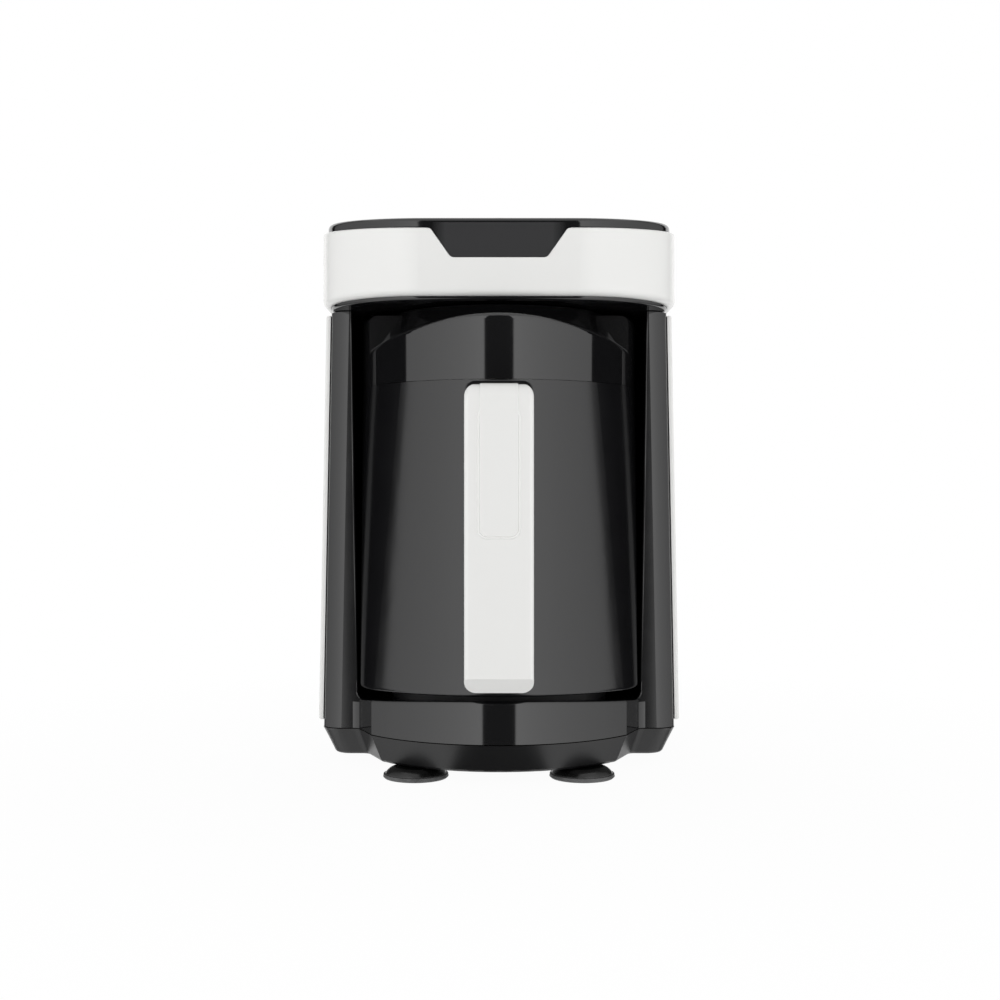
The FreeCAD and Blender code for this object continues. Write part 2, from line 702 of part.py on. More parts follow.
def root_blends(low):
    """Concave blends where the base's sides run into the column faces."""
    lean = "atan((base_root_x - base_corner_x) / (body_front_y - base_corner_y))"
    reach = "base_root_radius / tan((90deg + %s) / 2)" % lean
    blends = []
    for side, sign, turn in (("left", "-", 1), ("right", "", -1)):
        corners = [
            ("%s(base_root_x - %s * sin(%s))" % (sign, reach, lean), "body_front_y - %s * cos(%s)" % (reach, lean),
             ("base_root_radius", turn)),
            ("%s(base_root_x + %s)" % (sign, reach), "body_front_y"),
            ("%s(base_root_x + %s)" % (sign, reach), "body_front_y + 1"),
            ("%s(base_root_x - 4)" % sign, "body_front_y + 1"),
        ]
        blends.append(prism_z("root_blend_" + side, corners, low, "deck_z - deck_edge_radius"))
    return blends


def opening_cutter():
    """Tapered opening between the columns, with rounded lower corners."""
    return prism_y("opening_cutter", [
        ("-opening_half_low + opening_corner_radius", "deck_z - opening_sink"),
        ("opening_half_low - opening_corner_radius", "deck_z - opening_sink", ("opening_corner_radius", 1)),
        ("opening_half_low", "deck_z - opening_sink + opening_corner_radius"),
        ("opening_half_high", "head_base_z"),
        ("-opening_half_high", "head_base_z"),
        ("-opening_half_low", "deck_z - opening_sink + opening_corner_radius", ("opening_corner_radius", 1)),
    ], "body_front_y - 10", "body_front_y + column_depth + 1")


def is_deck_edge(edge):
    """The upper front edge of the base, round the arc and down the sides."""
    bounds = edge.BoundBox
    ahead_of_columns = bounds.YMax < size("body_front_y + 0.5")
    high = bounds.ZMin > size("deck_z") - 0.6
    across = bounds.XLength > 5 or bounds.YLength > 10
    return ahead_of_columns and high and across and bounds.ZMax < size("deck_lip_z") + 1 and not is_upright(edge)


def is_opening_edge(edge):
    """The long inner front edges of the columns."""
    bounds = edge.BoundBox
    on_face = near(bounds.YMin, size("body_front_y")) and near(bounds.YMax, size("body_front_y"))
    inner = max(abs(bounds.XMin), abs(bounds.XMax)) < size("opening_half_high") + 0.5
    return on_face and inner and bounds.ZLength > 50


def make_liner():
    """Wall of the bay that stands round the back of the pot."""
    low = "deck_z + fit_gap"
    high = "ceiling_z - 2 * fit_gap"
    front = "body_front_y + column_depth + fit_gap"
    outer = prism_z("liner_outer", bay_outline("liner_wall", front), low, high)
    inner = prism_z("liner_inner", bay_outline("0", front + " - 5"), "(%s) - 1" % low, "(%s) + 1" % high)
    finish_node(cut("cavity_liner", outer, inner), "cavity_liner")


def make_side_panels():
    """White panels that follow the housing's taper on both sides."""
    slope = "(body_half_low - body_half_high) / (ceiling_z - seam_z)"
    low_half = "(body_half_low - %s * (panel_low_z - seam_z) + fit_gap / 2)" % slope
    high_half = "(body_half_low - %s * (panel_high_z - seam_z) + fit_gap / 2)" % slope
    def is_outer(edge):
        return all(abs(v.X) > size(low_half) - size(slope) * (v.Z - size("panel_low_z")) + 1 for v in edge.Vertexes)
    for side, sign in (("left", "-"), ("right", "")):
        blank = prism_y("panel_blank_" + side, [
            (sign + low_half, "panel_low_z"),
            ("%s(%s + panel_thickness)" % (sign, low_half), "panel_low_z"),
            ("%s(%s + panel_thickness)" % (sign, high_half), "panel_high_z"),
            (sign + high_half, "panel_high_z"),
        ], "panel_front_y", "panel_back_y")
        panel = round_edges("side_panel_" + side, blank, "panel_edge_radius", is_outer)
        finish_node(panel, "side_panel_" + side)


def head_outline(inset):
    return rectangle("-head_half + (%s)" % inset, "head_half - (%s)" % inset,
                     "head_front_y + (%s)" % inset, "body_back_y - (%s)" % inset)


def head_prism(name, inset, low, high):
    """Upright solid with the head's plan, drawn in by an inset."""
    blank = prism_z(name + "_blank", head_outline(inset), low, high)
    front = size("head_front_y + (%s)" % inset)
    back = size("body_back_y - (%s)" % inset)
    half = size("head_half - (%s)" % inset)
    solid = round_edges(name + "_front", blank, "head_corner_radius - (%s)" % inset,
                        upright_at(half, front, 0.5))
    return round_edges(name, solid, "rear_corner_radius - (%s)" % inset, upright_at(half, back, 0.5))


def below_slope(name, rise):
    """Wide solid whose sloped top lies a rise above the band's upper edge."""
    reach = "(body_back_y - head_front_y + 20)"
    return prism_x(name, [
        ("head_front_y - 10", "head_base_z - 20"),
        ("head_front_y - 10 + %s" % reach, "head_base_z - 20"),
        ("head_front_y - 10 + %s" % reach,
         "band_front_z + (%s) + tan(head_slope * 1deg) * (%s - 10)" % (rise, reach)),
        ("head_front_y - 10", "band_front_z + (%s) - tan(head_slope * 1deg) * 10" % rise),
    ], "head_half + 10")


def tongue_outline(gap):
    """Trapezoid with rounded corners, from inside the cover down."""
    turn = "atan((band_front_z - tongue_low_z) / (tongue_top_half - tongue_low_half))"
    low = "(tongue_radius * tan(%s / 2))" % turn
    root = "(tongue_root_radius * tan(%s / 2))" % turn
    right = [
        ("tongue_low_half + (%s) - %s" % (gap, low), "tongue_low_z - (%s)" % gap, ("tongue_radius", 1)),
        ("tongue_low_half + (%s) + %s * cos(%s)" % (gap, low, turn), "tongue_low_z - (%s) + %s * sin(%s)" % (gap, low, turn)),
        ("tongue_top_half + (%s) - %s * cos(%s)" % (gap, root, turn), "band_front_z - (%s) - %s * sin(%s)" % (gap, root, turn),
         ("tongue_root_radius", -1)),
        ("tongue_top_half + (%s) + %s" % (gap, root), "band_front_z - (%s)" % gap),
        ("tongue_top_half + (%s) + %s" % (gap, root), "band_front_z + 1"),
    ]
    left = [("-(%s)" % x, y) for x, y, *bend in reversed(right)]
    bends = [None, ("tongue_root_radius", -1), None, ("tongue_radius", 1), None]
    left = [point if bend is None else point + (bend,) for point, bend in zip(left, bends)]
    return right + left


def make_head_band():
    """White ring round the head, with a sloped top and a cut-out for the tongue."""
    outer = head_prism("band_outer", "0", "head_base_z", "band_front_z + 40")
    base_z = size("head_base_z")
    outer = round_edges("band_low_edge", outer, "head_edge_radius", lambda edge: all_at_z(edge, base_z))
    inner = head_prism("band_inner", "band_wall", "head_base_z - 1", "band_front_z + 41")
    ring = cut("band_ring", outer, inner)
    sloped = common("band_sloped", ring, below_slope("band_slope", "0"))
    sloped = round_crown("band_top_edge", sloped, "band_top_radius")
    notch = prism_y("tongue_notch", tongue_outline("0.15"), "head_front_y - 1", "head_front_y + band_wall + 1")
    finish_node(cut("head_band", sloped, notch), "head_band")


def on_slope(solid, x, y, lift):
    """Stand a solid on the cover's sloped top at a place in plan."""
    solid.Placement = FreeCAD.Placement(Vector(), FreeCAD.Rotation(Vector(1, 0, 0), size("head_slope")))
    along = "((%s) - head_front_y)" % y
    top = "(band_front_z + cover_gap + cover_thickness + tan(head_slope * 1deg) * %s)" % along
    bind(solid, "Placement.Base.x", x)
    bind(solid, "Placement.Base.y", "(%s) - sin(head_slope * 1deg) * (%s)" % (y, lift))
    bind(solid, "Placement.Base.z", "%s + cos(head_slope * 1deg) * (%s)" % (top, lift))
    return solid


def slope_cylinder(name, radius, low, high):
    """Cylinder square to the cover at the button, between two lifts."""
    solid = doc.addObject("Part::Cylinder", name)
    bind(solid, "Radius", radius)
    bind(solid, "Height", "(%s) - (%s)" % (high, low))
    return on_slope(solid, "0", "button_y", low)


def cover_prism():
    """Upright solid with the cover's plan: flush in front, narrower at the sides."""
    half = "(head_half - cover_side_step)"
    blank = prism_z("cover_prism_blank", rectangle("-" + half, half, "head_front_y", "body_back_y - cover_side_step"),
                    "head_base_z", "band_front_z + 60")
    solid = round_edges("cover_prism_front", blank, "head_corner_radius",
                        upright_at(size(half), size("head_front_y"), 0.5))
    return round_edges("cover_prism", solid, "rear_corner_radius",
                       upright_at(size(half), size("body_back_y - cover_side_step"), 0.5))


def round_crown(name, solid, radius):
    """Round the outer edge of the solid's sloped top."""
    doc.recompute()
    lean = math.radians(size("head_slope"))
    top_normal = Vector(0, -math.sin(lean), math.cos(lean))
    crown = max(solid.Shape.Faces, key=lambda face: face.CenterOfMass.dot(top_normal))
    rim = [edge.CenterOfMass for edge in crown.OuterWire.Edges]
    return round_edges(name, solid, radius,
                       lambda edge: any((edge.CenterOfMass - point).Length < 0.01 for point in rim))


def make_top_cover():
    """Glossy sloped slab with a tongue that hangs down the front of the band."""
    prism = cover_prism()
    above = cut("cover_above", prism, below_slope("cover_low", "cover_gap"))
    slab = common("cover_slab", above, below_slope("cover_high", "cover_gap + cover_thickness"))
    slab = round_crown("cover_rounded", slab, "cover_edge_radius")
    tongue = prism_y("tongue", tongue_outline("0"), "head_front_y", "head_front_y + tongue_thickness")
    whole = fuse("cover_whole", slab, tongue)
    hole = slope_cylinder("button_hole", "button_radius + button_gap + ring_width", "-cover_thickness - 6", "4")
    finish_node(cut("top_cover", whole, hole), "top_cover")


def make_button():
    """Round start button with a dished top and a stem onto its switch."""
    head = slope_cylinder("button_head", "button_radius", "-cover_thickness + 0.4", "button_proud")
    doc.recompute()
    head = round_edges("button_edge", head, "0.7", lambda edge: edge.Length > 20 and edge.CenterOfMass.z > size(
        "band_front_z + cover_gap + cover_thickness + tan(head_slope * 1deg) * (button_y - head_front_y)"))
    stem = slope_cylinder("button_stem", "3", "-cover_thickness - 4.0", "-cover_thickness + 1")
    flange = slope_cylinder("button_flange", "button_radius - 1", "-cover_thickness - 0.6", "-cover_thickness + 0.6")
    dish = doc.addObject("Part::Sphere", "button_dish")
    bind(dish, "Radius", "90")
    on_slope(dish, "0", "button_y", "button_proud + 90 - 0.5")
    finish_node(cut("start_button", fuse("button_blank", head, stem, flange), dish), "start_button")
    ring_outer = slope_cylinder("ring_outer", "button_radius + button_gap + ring_width - 0.1",
                                "-cover_thickness - 1", "0.2")
    ring_inner = slope_cylinder("ring_inner", "button_radius + button_gap", "-cover_thickness - 2", "1")
    finish_node(cut("button_light_ring", ring_outer, ring_inner), "button_light_ring")


def tilted_box(name, half_x, y_low, y_high, low, high):
    """Box square to the cover, between two lifts below it."""
    solid = doc.addObject("Part::Box", name)
    bind(solid, "Length", "2 * (%s)" % half_x)
    bind(solid, "Width", "((%s) - (%s)) / cos(head_slope * 1deg)" % (y_high, y_low))
    bind(solid, "Height", "(%s) - (%s)" % (high, low))
    return on_slope(solid, "-(%s)" % half_x, y_low, low)


def make_head_electronics():
    board = tilted_box("control_board_plate", "40", "button_y - 16", "button_y + 60",
                       "-cover_thickness - 7 - board_thickness", "-cover_thickness - 7")
    posts = [tilted_box("board_post_%d" % i, "1.5", y, "%s + 3" % y, "-cover_thickness - 7.2",
                        "-cover_thickness - fit_gap") for i, y in enumerate(("button_y + 20", "button_y + 54"))]
    finish_node(fuse("control_board_whole", board, *posts), "control_board")
    switch = tilted_box("switch_case", "4", "button_y - 4", "button_y + 4",
                        "-cover_thickness - 6.7", "-cover_thickness - 5.4")
    plunger = slope_cylinder("switch_plunger", "1.8", "-cover_thickness - 5.5",
                             "-cover_thickness - 4 - button_travel - 0.1")
    finish_node(fuse("switch_whole", switch, plunger), "tact_switch")
    buzzer = doc.addObject("Part::Cylinder", "buzzer")
    bind(buzzer, "Radius", "6")
    bind(buzzer, "Height", "5")
    finish_node(on_slope(buzzer, "22", "button_y + 30", "-cover_thickness - 6.8"), "buzzer")


def make_underside():
    """Glossy plate that closes the head from below, with a rounded lip."""
    plate = head_prism("underside_plate", "band_wall + fit_gap / 2", "ceiling_z", "ceiling_z + ceiling_thickness")
    low = size("ceiling_z")
    plate = round_edges("underside_lip", plate, "ceiling_edge_radius", lambda edge: all_at_z(edge, low))
    window = cylinder("sensor_hole", "sensor_radius + running_gap", ("0", "pot_axis_y", "ceiling_z - 1"),
                      "ceiling_thickness + 2")
    cable = box("cable_hole", ("-12", "12"), ("body_back_y - 19", "body_back_y - 7"),
                ("ceiling_z - 1", "ceiling_z + ceiling_thickness + 1"))
    finish_node(cut("head_underside", plate, window, cable), "head_underside")
    lens = cylinder("lens_body", "sensor_radius", ("0", "pot_axis_y", "ceiling_z - 0.2"), "ceiling_thickness + 0.2")
    flange = cylinder("lens_flange", "sensor_radius + 2",
                      ("0", "pot_axis_y", "ceiling_z + ceiling_thickness + 0.1"), "1")
    neck = cylinder("lens_neck", "sensor_radius - 1", ("0", "pot_axis_y", "ceiling_z + ceiling_thickness - 0.2"), "0.6")
    finish_node(fuse("lens_whole", lens, neck, flange), "foam_sensor_lens")
    board = box("sensor_board_plate", ("-14", "14"), ("pot_axis_y - 11", "pot_axis_y + 11"),
                ("ceiling_z + ceiling_thickness + 3.4", "ceiling_z + ceiling_thickness + 3.4 + board_thickness"))
    posts = [cylinder("sensor_post_%d" % i, "1.6", (x, "pot_axis_y", "ceiling_z + ceiling_thickness + 0.1"), "3.4")
             for i, x in enumerate(("-11", "11"))]
    finish_node(fuse("sensor_board_whole", board, *posts), "sensor_board")


# Rear cover and what it closes


def make_rear_cover():
    """Flat rear cover with a field of vent slots and the cord inlet hole."""
    body = new_body("rear_cover_body")
    outline = rounded_rectangle("-rear_cover_half", "rear_cover_half", "rear_cover_low_z", "rear_cover_high_z",
                                "8", "8")
    sketch = new_sketch(body, "rear_cover_outline", "XZ_Plane", outline, "-body_back_y")
    pad(body, "rear_cover_pad", sketch, "rear_cover_thickness", backwards=True)
    slot = rounded_rectangle("-vent_length", "vent_length", "vent_low_z", "vent_low_z + vent_height",
                             "vent_height / 2.05", "vent_height / 2.05")
    slot_sketch = new_sketch(body, "vent_outline", "XZ_Plane", slot, "-(body_back_y - 1)")
    pocket = body.newObject("PartDesign::Pocket", "vent_pocket")
    pocket.Profile = slot_sketch
    bind(pocket, "Length", "rear_cover_thickness + 2")
    pocket.Reversed = True
    pocket.Midplane = False
    doc.recompute()
    pattern = body.newObject("PartDesign::LinearPattern", "vent_pattern")
    pattern.Originals = [pocket]
    pattern.Direction = (slot_sketch, ["V_Axis"])
    bind(pattern, "Length", "vent_pitch * (vent_count - 1)")
    pattern.Occurrences = int(size("vent_count"))
    body.Tip = pattern
    hole = cylinder("gland_hole", "gland_radius - gland_flange + running_gap",
                    ("0", "body_back_y - 1", "gland_z"), "rear_cover_thickness + 2", "y")
    finish_node(cut("rear_cover", body, hole, *rear_screw_holes()), "rear_cover")
    make_gland()


def make_gland():
    """Bushing where the mains cord enters."""
    sleeve = cylinder("gland_sleeve", "gland_radius - gland_flange",
                      ("0", "body_back_y - 4", "gland_z"), "rear_cover_thickness + 4", "y")
    inner_flange = cylinder("gland_inner", "gland_radius", ("0", "body_back_y - 4", "gland_z"), "3.8", "y")
    bore = cylinder("gland_bore", "cord_hole_radius", ("0", "body_back_y - 6", "gland_z"), "12", "y")
    finish_node(cut("cord_gland", fuse("gland_blank", sleeve, inner_flange), bore), "cord_gland")


def rear_screw_places():
    reach = "rear_cover_half - 8"
    return [("-(%s)" % reach, "rear_cover_low_z + 9"), (reach, "rear_cover_low_z + 9"),
            ("-(%s)" % reach, "rear_cover_high_z - 9"), (reach, "rear_cover_high_z - 9")]


def rear_screw_holes():
    holes = []
    for i, (x, z) in enumerate(rear_screw_places()):
        holes.append(cylinder("rear_screw_hole_%d" % i, "screw_head_radius + fit_gap",
                              (x, "body_back_y - 1", z), "rear_cover_thickness + 2", "y"))
    return holes


def make_rear_screws():
    """Bosses with recessed screws that hold the rear cover."""
    screws = []
    for i, (x, z) in enumerate(rear_screw_places()):
        head = cylinder("rear_head_%d" % i, "screw_head_radius", (x, "body_back_y + 0.1", z), "1.6", "y")
        screws.append(head)
    group = doc.addObject("Part::Compound", "rear_screws")
    group.Links = screws
    finish_node(group, "rear_screws")


def make_power_electronics():
    board_y = "body_back_y - 8"
    board = box("power_board_plate", ("-electronics_half + 4", "electronics_half - 4"),
                (board_y, board_y + " + board_thickness"), ("46", "130"))
    legs = [box("board_rib_%d" % i, (low, high), (board_y + " + board_thickness", "body_back_y"), ("46", "130"))
            for i, (low, high) in enumerate([("-electronics_half + 4", "-electronics_half + 7"),
                                             ("electronics_half - 7", "electronics_half - 4")])]
    finish_node(fuse("power_board_whole", board, *legs), "power_board")
    transformer = box("transformer", ("-34", "-8"), (board_y + " - 9.8", board_y + " - 0.2"), ("96", "122"))
    finish_node(transformer, "transformer")
    relay = box("relay", ("6", "24"), (board_y + " - 9.8", board_y + " - 0.2"), ("98", "114"))
    finish_node(relay, "heater_relay")


# Heater


def make_heater():
    """Steel plate on a silicone ring, with a neck down through the deck."""
    top = "pot_bottom_z - fit_gap"
    under = top + " - heater_thickness"
    plate = turned("heater_plate_body", [
        ("0", under),
        ("heater_neck_radius - heater_skirt", under),
        ("heater_neck_radius - heater_skirt", "heater_neck_z"),
        ("heater_neck_radius", "heater_neck_z"),
        ("heater_neck_radius", under),
        ("heater_radius - heater_skirt", under),
        ("heater_radius - heater_skirt", "deck_z + seal_thickness + 0.2"),
        ("heater_radius", "deck_z + seal_thickness + 0.2"),
        ("heater_radius", top + " - 1"),
        ("heater_radius - 1", top),
        ("0", top),
    ], "0", "pot_axis_y")
    finish_node(plate, "heater_plate")
    seal = turned("heater_seal_body", [
        ("heater_neck_radius + 0.5", "deck_z + 0.05"),
        ("heater_radius + fit_gap + seal_lip", "deck_z + 0.05"),
        ("heater_radius + fit_gap + seal_lip", top + " - seal_lip_drop - 0.6"),
        ("heater_radius + fit_gap + seal_lip - 0.6", top + " - seal_lip_drop"),
        ("heater_radius + fit_gap", top + " - seal_lip_drop"),
        ("heater_radius + fit_gap", "deck_z + seal_thickness"),
        ("heater_neck_radius + 0.5", "deck_z + seal_thickness"),
    ], "0", "pot_axis_y")
    finish_node(seal, "heater_seal")
    make_element(under)
    thermostat = cylinder("thermostat_can", "thermostat_radius", ("0", "pot_axis_y", under + " - 6.1"), "6")
    flange = cylinder("thermostat_flange", "thermostat_radius + 2", ("0", "pot_axis_y", under + " - 1.1"), "1")
    blades = [box("thermostat_blade_%d" % i, (x, x + " + 4"), ("pot_axis_y - 0.4", "pot_axis_y + 0.4"),
                  (under + " - 9", under + " - 6")) for i, x in enumerate(("-6", "2"))]
    finish_node(fuse("thermostat_whole", thermostat, flange, *blades), "thermostat")
    fuse_body = cylinder("thermal_fuse", "2", ("-8", "pot_axis_y + 17", under + " - 2.1"), "16", "x")
    finish_node(fuse_body, "thermal_fuse")
    carrier = turned("heater_carrier_body", [
        ("heater_neck_radius - heater_skirt + 0.3", "heater_neck_z - 2"),
        ("heater_radius + 3", "heater_neck_z - 2"),
        ("heater_radius + 3", "deck_z - deck_thickness - 0.1"),
        ("heater_neck_radius + 3", "deck_z - deck_thickness - 0.1"),
        ("heater_neck_radius + 3", "heater_neck_z - 0.2"),
        ("heater_neck_radius - heater_skirt + 0.3", "heater_neck_z - 0.2"),
    ], "0", "pot_axis_y")
    finish_node(carrier, "heater_carrier")


def make_element(under):
    """Open ring of tube pressed under the plate, with two terminals."""
    ring = doc.addObject("Part::Torus", "element_ring")
    bind(ring, "Radius1", "element_radius")
    bind(ring, "Radius2", "element_tube")
    ring.Angle3 = 320
    ring.Placement = FreeCAD.Placement(Vector(), FreeCAD.Rotation(Vector(0, 0, 1), 110))
    bind(ring, "Placement.Base.y", "pot_axis_y")
    bind(ring, "Placement.Base.z", under + " - element_tube - 0.05")
    terminals = []
    for i, degrees in enumerate((110, 70)):
        x = "element_radius * cos(%ddeg)" % degrees
        y = "pot_axis_y + element_radius * sin(%ddeg)" % degrees
        terminals.append(cylinder("element_terminal_%d" % i, "element_tube - 0.6",
                                  (x, y, under + " - element_tube - 9"), "9"))
    finish_node(fuse("element_whole", ring, *terminals), "heating_element")


# Pot


def corner_middle(half, reach, side_radius, front_radius, corner_radius):
    """Centre of a corner arc that runs smoothly into the front arc and the side arc."""
    side = Vector(half - side_radius, 0, 0)
    front = Vector(0, front_radius - reach, 0)
    from_side, from_front = side_radius - corner_radius, front_radius - corner_radius
    apart = (side - front).Length
    along = (from_front ** 2 - from_side ** 2 + apart ** 2) / (2 * apart)
    toward = (side - front) * (1 / apart)
    rise = math.sqrt(from_front ** 2 - along ** 2)
    across = Vector(-toward.y, toward.x, 0)
    choices = [front + toward * along + across * rise * sign for sign in (1, -1)]
    return max(choices, key=lambda point: point.x)


def pot_section(level, arcs):
    """Closed section about the pot's axis from (centre x, centre y, radius, start, end) arcs.

    They are given for the front right quarter, in turns from the front, and mirrored.
    """
    axis_y = size("pot_axis_y")
    edges = []
    for flip_x, flip_y in ((1, 1), (1, -1), (-1, -1), (-1, 1)):
        quarter = []
        for x, y, radius, start, end in arcs:
            quarter.append([Vector(flip_x * (x + radius * math.sin(t)), axis_y + flip_y * (y - radius * math.cos(t)), level)
                            for t in (start, (start + end) / 2, end)])
        if flip_x * flip_y < 0:
            quarter = [list(reversed(points)) for points in reversed(quarter)]
        edges += quarter
    return Part.Wire([Part.Arc(*points).toShape() for points in edges])


def make_pot_shell():
    """Satin outer shell: rounded square at the foot, round under the collar."""
    half, reach = size("pot_base_half"), size("pot_base_reach")
    side, front, corner = size("pot_side_radius"), size("pot_front_radius"), size("pot_corner_radius")
    middle = corner_middle(half, reach, side, front, corner)
    into_corner = math.atan2(middle.x, front - reach - middle.y)
    into_side = math.pi / 2 - math.atan2(-middle.y, middle.x + side - half)
    foot = pot_section(size("pot_bottom_z"), [
        (0, front - reach, front, 0, into_corner),
        (middle.x, middle.y, corner, into_corner, into_side),
        (half - side, 0, side, into_side, math.pi / 2),
    ])
    radius = size("pot_radius")
    top = pot_section(size("collar_z - collar_gap"), [
        (0, 0, radius, 0, into_corner), (0, 0, radius, into_corner, into_side), (0, 0, radius, into_side, math.pi / 2)])
    blank = doc.addObject("Part::Feature", "pot_loft")
    blank.Shape = Part.makeLoft([foot, top], True, False)
    doc.recompute()
    low = size("pot_bottom_z")
    rounded = round_edges("pot_loft_rounded", blank, "pot_foot_radius", lambda edge: all_at_z(edge, low))
    bore = cylinder("pot_bore", "vessel_radius + fit_gap", ("0", "pot_axis_y", "pot_bottom_z + disc_thickness"),
                    "collar_z - pot_bottom_z")
    disc_hole = cylinder("disc_hole", "disc_radius + 0.15", ("0", "pot_axis_y", "pot_bottom_z - 1"),
                         "disc_thickness + 2")
    finish_node(cut("pot_shell", rounded, bore, disc_hole), "pot_shell")
    disc = cylinder("pot_base_disc", "disc_radius", ("0", "pot_axis_y", "pot_bottom_z"), "disc_thickness")
    finish_node(disc, "pot_base_disc")
    return rounded


def make_vessel():
    """Drawn steel vessel with a narrowed neck."""
    floor = "pot_bottom_z + disc_thickness + 0.05"
    profile = [
        ("0", floor),
        ("vessel_floor_radius", floor, ("14", 1)),
        ("vessel_radius", "vessel_bend_z"),
        ("vessel_radius", "vessel_shoulder_z"),
        ("vessel_rim_radius", "vessel_rim_z"),
        ("vessel_rim_radius - vessel_wall", "vessel_rim_z"),
        ("vessel_radius - vessel_wall", "vessel_shoulder_z - vessel_wall * 0.6"),
        ("vessel_radius - vessel_wall", "vessel_bend_z", ("13", -1)),
        ("vessel_floor_radius", floor + " + vessel_wall"),
        ("0", floor + " + vessel_wall"),
    ]
    finish_node(turned("pot_vessel", profile, "0", "pot_axis_y"), "pot_vessel")


def make_collar():
    """Glossy collar: arched shoulders front and back, a spout on each side."""
    axis_y = "pot_axis_y"
    wall_low = "collar_z"
    barrel = cylinder("collar_barrel", "pot_radius", ("0", axis_y, wall_low), "spout_top_z - collar_z")
    arch_side_z = "arch_crown_z - arch_radius + sqrt(arch_radius ^ 2 - (pot_radius + 4) ^ 2)"
    arch = prism_y("collar_arch", [
        ("-pot_radius - 4", "collar_z - 1"),
        ("pot_radius + 4", "collar_z - 1"),
        ("pot_radius + 4", arch_side_z, ("arch_radius", 1)),
        ("-pot_radius - 4", arch_side_z),
    ], "pot_axis_y - pot_radius - 4", "pot_axis_y + pot_radius + 4")
    lower = common("collar_lower", barrel, arch)
    low = size("collar_z")
    lower = round_edges("collar_shoulder", lower, "arch_edge_radius",
                        lambda edge: edge.BoundBox.ZMin > low + 2 and not is_upright(edge))
    spout_barrel = cylinder("spout_barrel", "pot_radius", ("0", axis_y, wall_low), "spout_top_z - collar_z")
    top = size("spout_top_z")
    spout_barrel = round_edges("spout_barrel_rounded", spout_barrel, "spout_edge_radius",
                               lambda edge: all_at_z(edge, top))
    spout_block = box("spout_block", ("-pot_radius - 4", "pot_radius + 4"),
                      ("pot_axis_y - spout_half", "pot_axis_y + spout_half"), ("collar_z + 2", "spout_top_z + 1"))
    spouts = common("collar_spouts", spout_barrel, spout_block)
    neck_low_radius = "rim_radius + tan(neck_slope * 1deg) * (rim_z - neck_low_z)"
    neck = cone("collar_neck", neck_low_radius, "rim_radius", ("0", axis_y, "neck_low_z"), "rim_z - neck_low_z")
    blank = fuse("collar_blank", lower, spouts, neck)
    seat = cylinder("collar_seat", "vessel_radius + fit_gap", ("0", axis_y, "collar_z - 1"),
                    "vessel_shoulder_z - collar_z + 1.2")
    seat_cone = cone("collar_seat_cone", "vessel_radius + fit_gap", "vessel_rim_radius + fit_gap",
                     ("0", axis_y, "vessel_shoulder_z + 0.2"), "vessel_rim_z - vessel_shoulder_z + 0.1")
    mouth = cylinder("collar_mouth", "mouth_radius", ("0", axis_y, "vessel_rim_z"), "rim_z - vessel_rim_z + 1")
    channel = cylinder("pour_channel", "spout_channel_radius",
                       ("-pot_radius - 5", axis_y, "spout_channel_z + spout_channel_radius"),
                       "2 * (pot_radius + 5)", "x")
    finish_node(cut("pot_collar", blank, seat, seat_cone, mouth, channel), "pot_collar")


def handle_side_profile(front, back, high, low, bend):
    """Side view of the handle's bar: upright, bent back at its top."""
    return [
        (front, "(%s) + handle_heel_radius" % low),
        ("(%s) + handle_heel_radius" % front, low),
        (back, low),
        (back, high),
        ("(%s) + (%s)" % (front, bend), high, (bend, 1)),
        (front, "(%s) - (%s)" % (high, bend)),
    ]


def make_handle(pot_solid):
    """White cover over a black bracket whose two arms meet the pot's shell."""
    back = "handle_front_y + handle_depth"
    front_view = rounded_rectangle("-handle_half", "handle_half", "handle_low_z", "handle_high_z + handle_top_margin",
                                   "handle_corner_radius", "handle_shoulder_radius")
    bar = prism_x("handle_bar", handle_side_profile("handle_front_y + inlay_proud", back, "handle_high_z",
                                                    "handle_low_z", "handle_bend_radius"), "handle_half + 1")
    outline = prism_y("handle_outline", front_view, "handle_front_y - 5", back + " + 5")
    blank = common("handle_blank", bar, outline)
    blank = round_edges("handle_rounded", blank, "handle_edge_radius", is_handle_outline)
    inlay = make_inlay(back)
    finish_node(cut("handle_cover", blank, inlay), "handle_cover")
    make_bracket(back, pot_solid)


def is_handle_outline(edge):
    """The outline of the handle's front face, seen from the front."""
    bounds = edge.BoundBox
    on_front = near(bounds.YMin, size("handle_front_y + inlay_proud")) and near(bounds.YMax, bounds.YMin)
    on_side = min(abs(bounds.XMin), abs(bounds.XMax)) > size("handle_half") - 0.01
    return on_front and on_side and bounds.ZLength > 20


def make_inlay(back):
    """Thumb inlay that runs over the top of the handle."""
    outer = prism_x("inlay_outer", handle_side_profile(
        "handle_front_y", back, "handle_high_z + inlay_proud", "handle_low_z",
        "handle_bend_radius + inlay_proud"), "handle_half")
    deep = "handle_front_y + inlay_thickness"
    inner = prism_x("inlay_inner", [
        (deep, "handle_low_z - 1"),
        (back + " + 1", "handle_low_z - 1"),
        (back + " + 1", "handle_high_z + inlay_proud - inlay_thickness"),
        ("%s + handle_bend_radius - 1" % deep, "handle_high_z + inlay_proud - inlay_thickness",
         ("handle_bend_radius - 1", 1)),
        (deep, "handle_high_z + inlay_proud - inlay_thickness - handle_bend_radius + 1"),
    ], "handle_half + 1")
    skin = cut("inlay_skin", outer, inner)
    window = prism_y("inlay_window", rounded_rectangle("-inlay_half", "inlay_half", "inlay_low_z",
                                                       "handle_high_z + 3", "inlay_radius", "1"),
                     "handle_front_y - 2", back)
    blank = common("inlay_blank", skin, window)
    return finish_node(round_edges("inlay_rounded", blank, "inlay_edge_radius", is_inlay_outline), "handle_inlay")


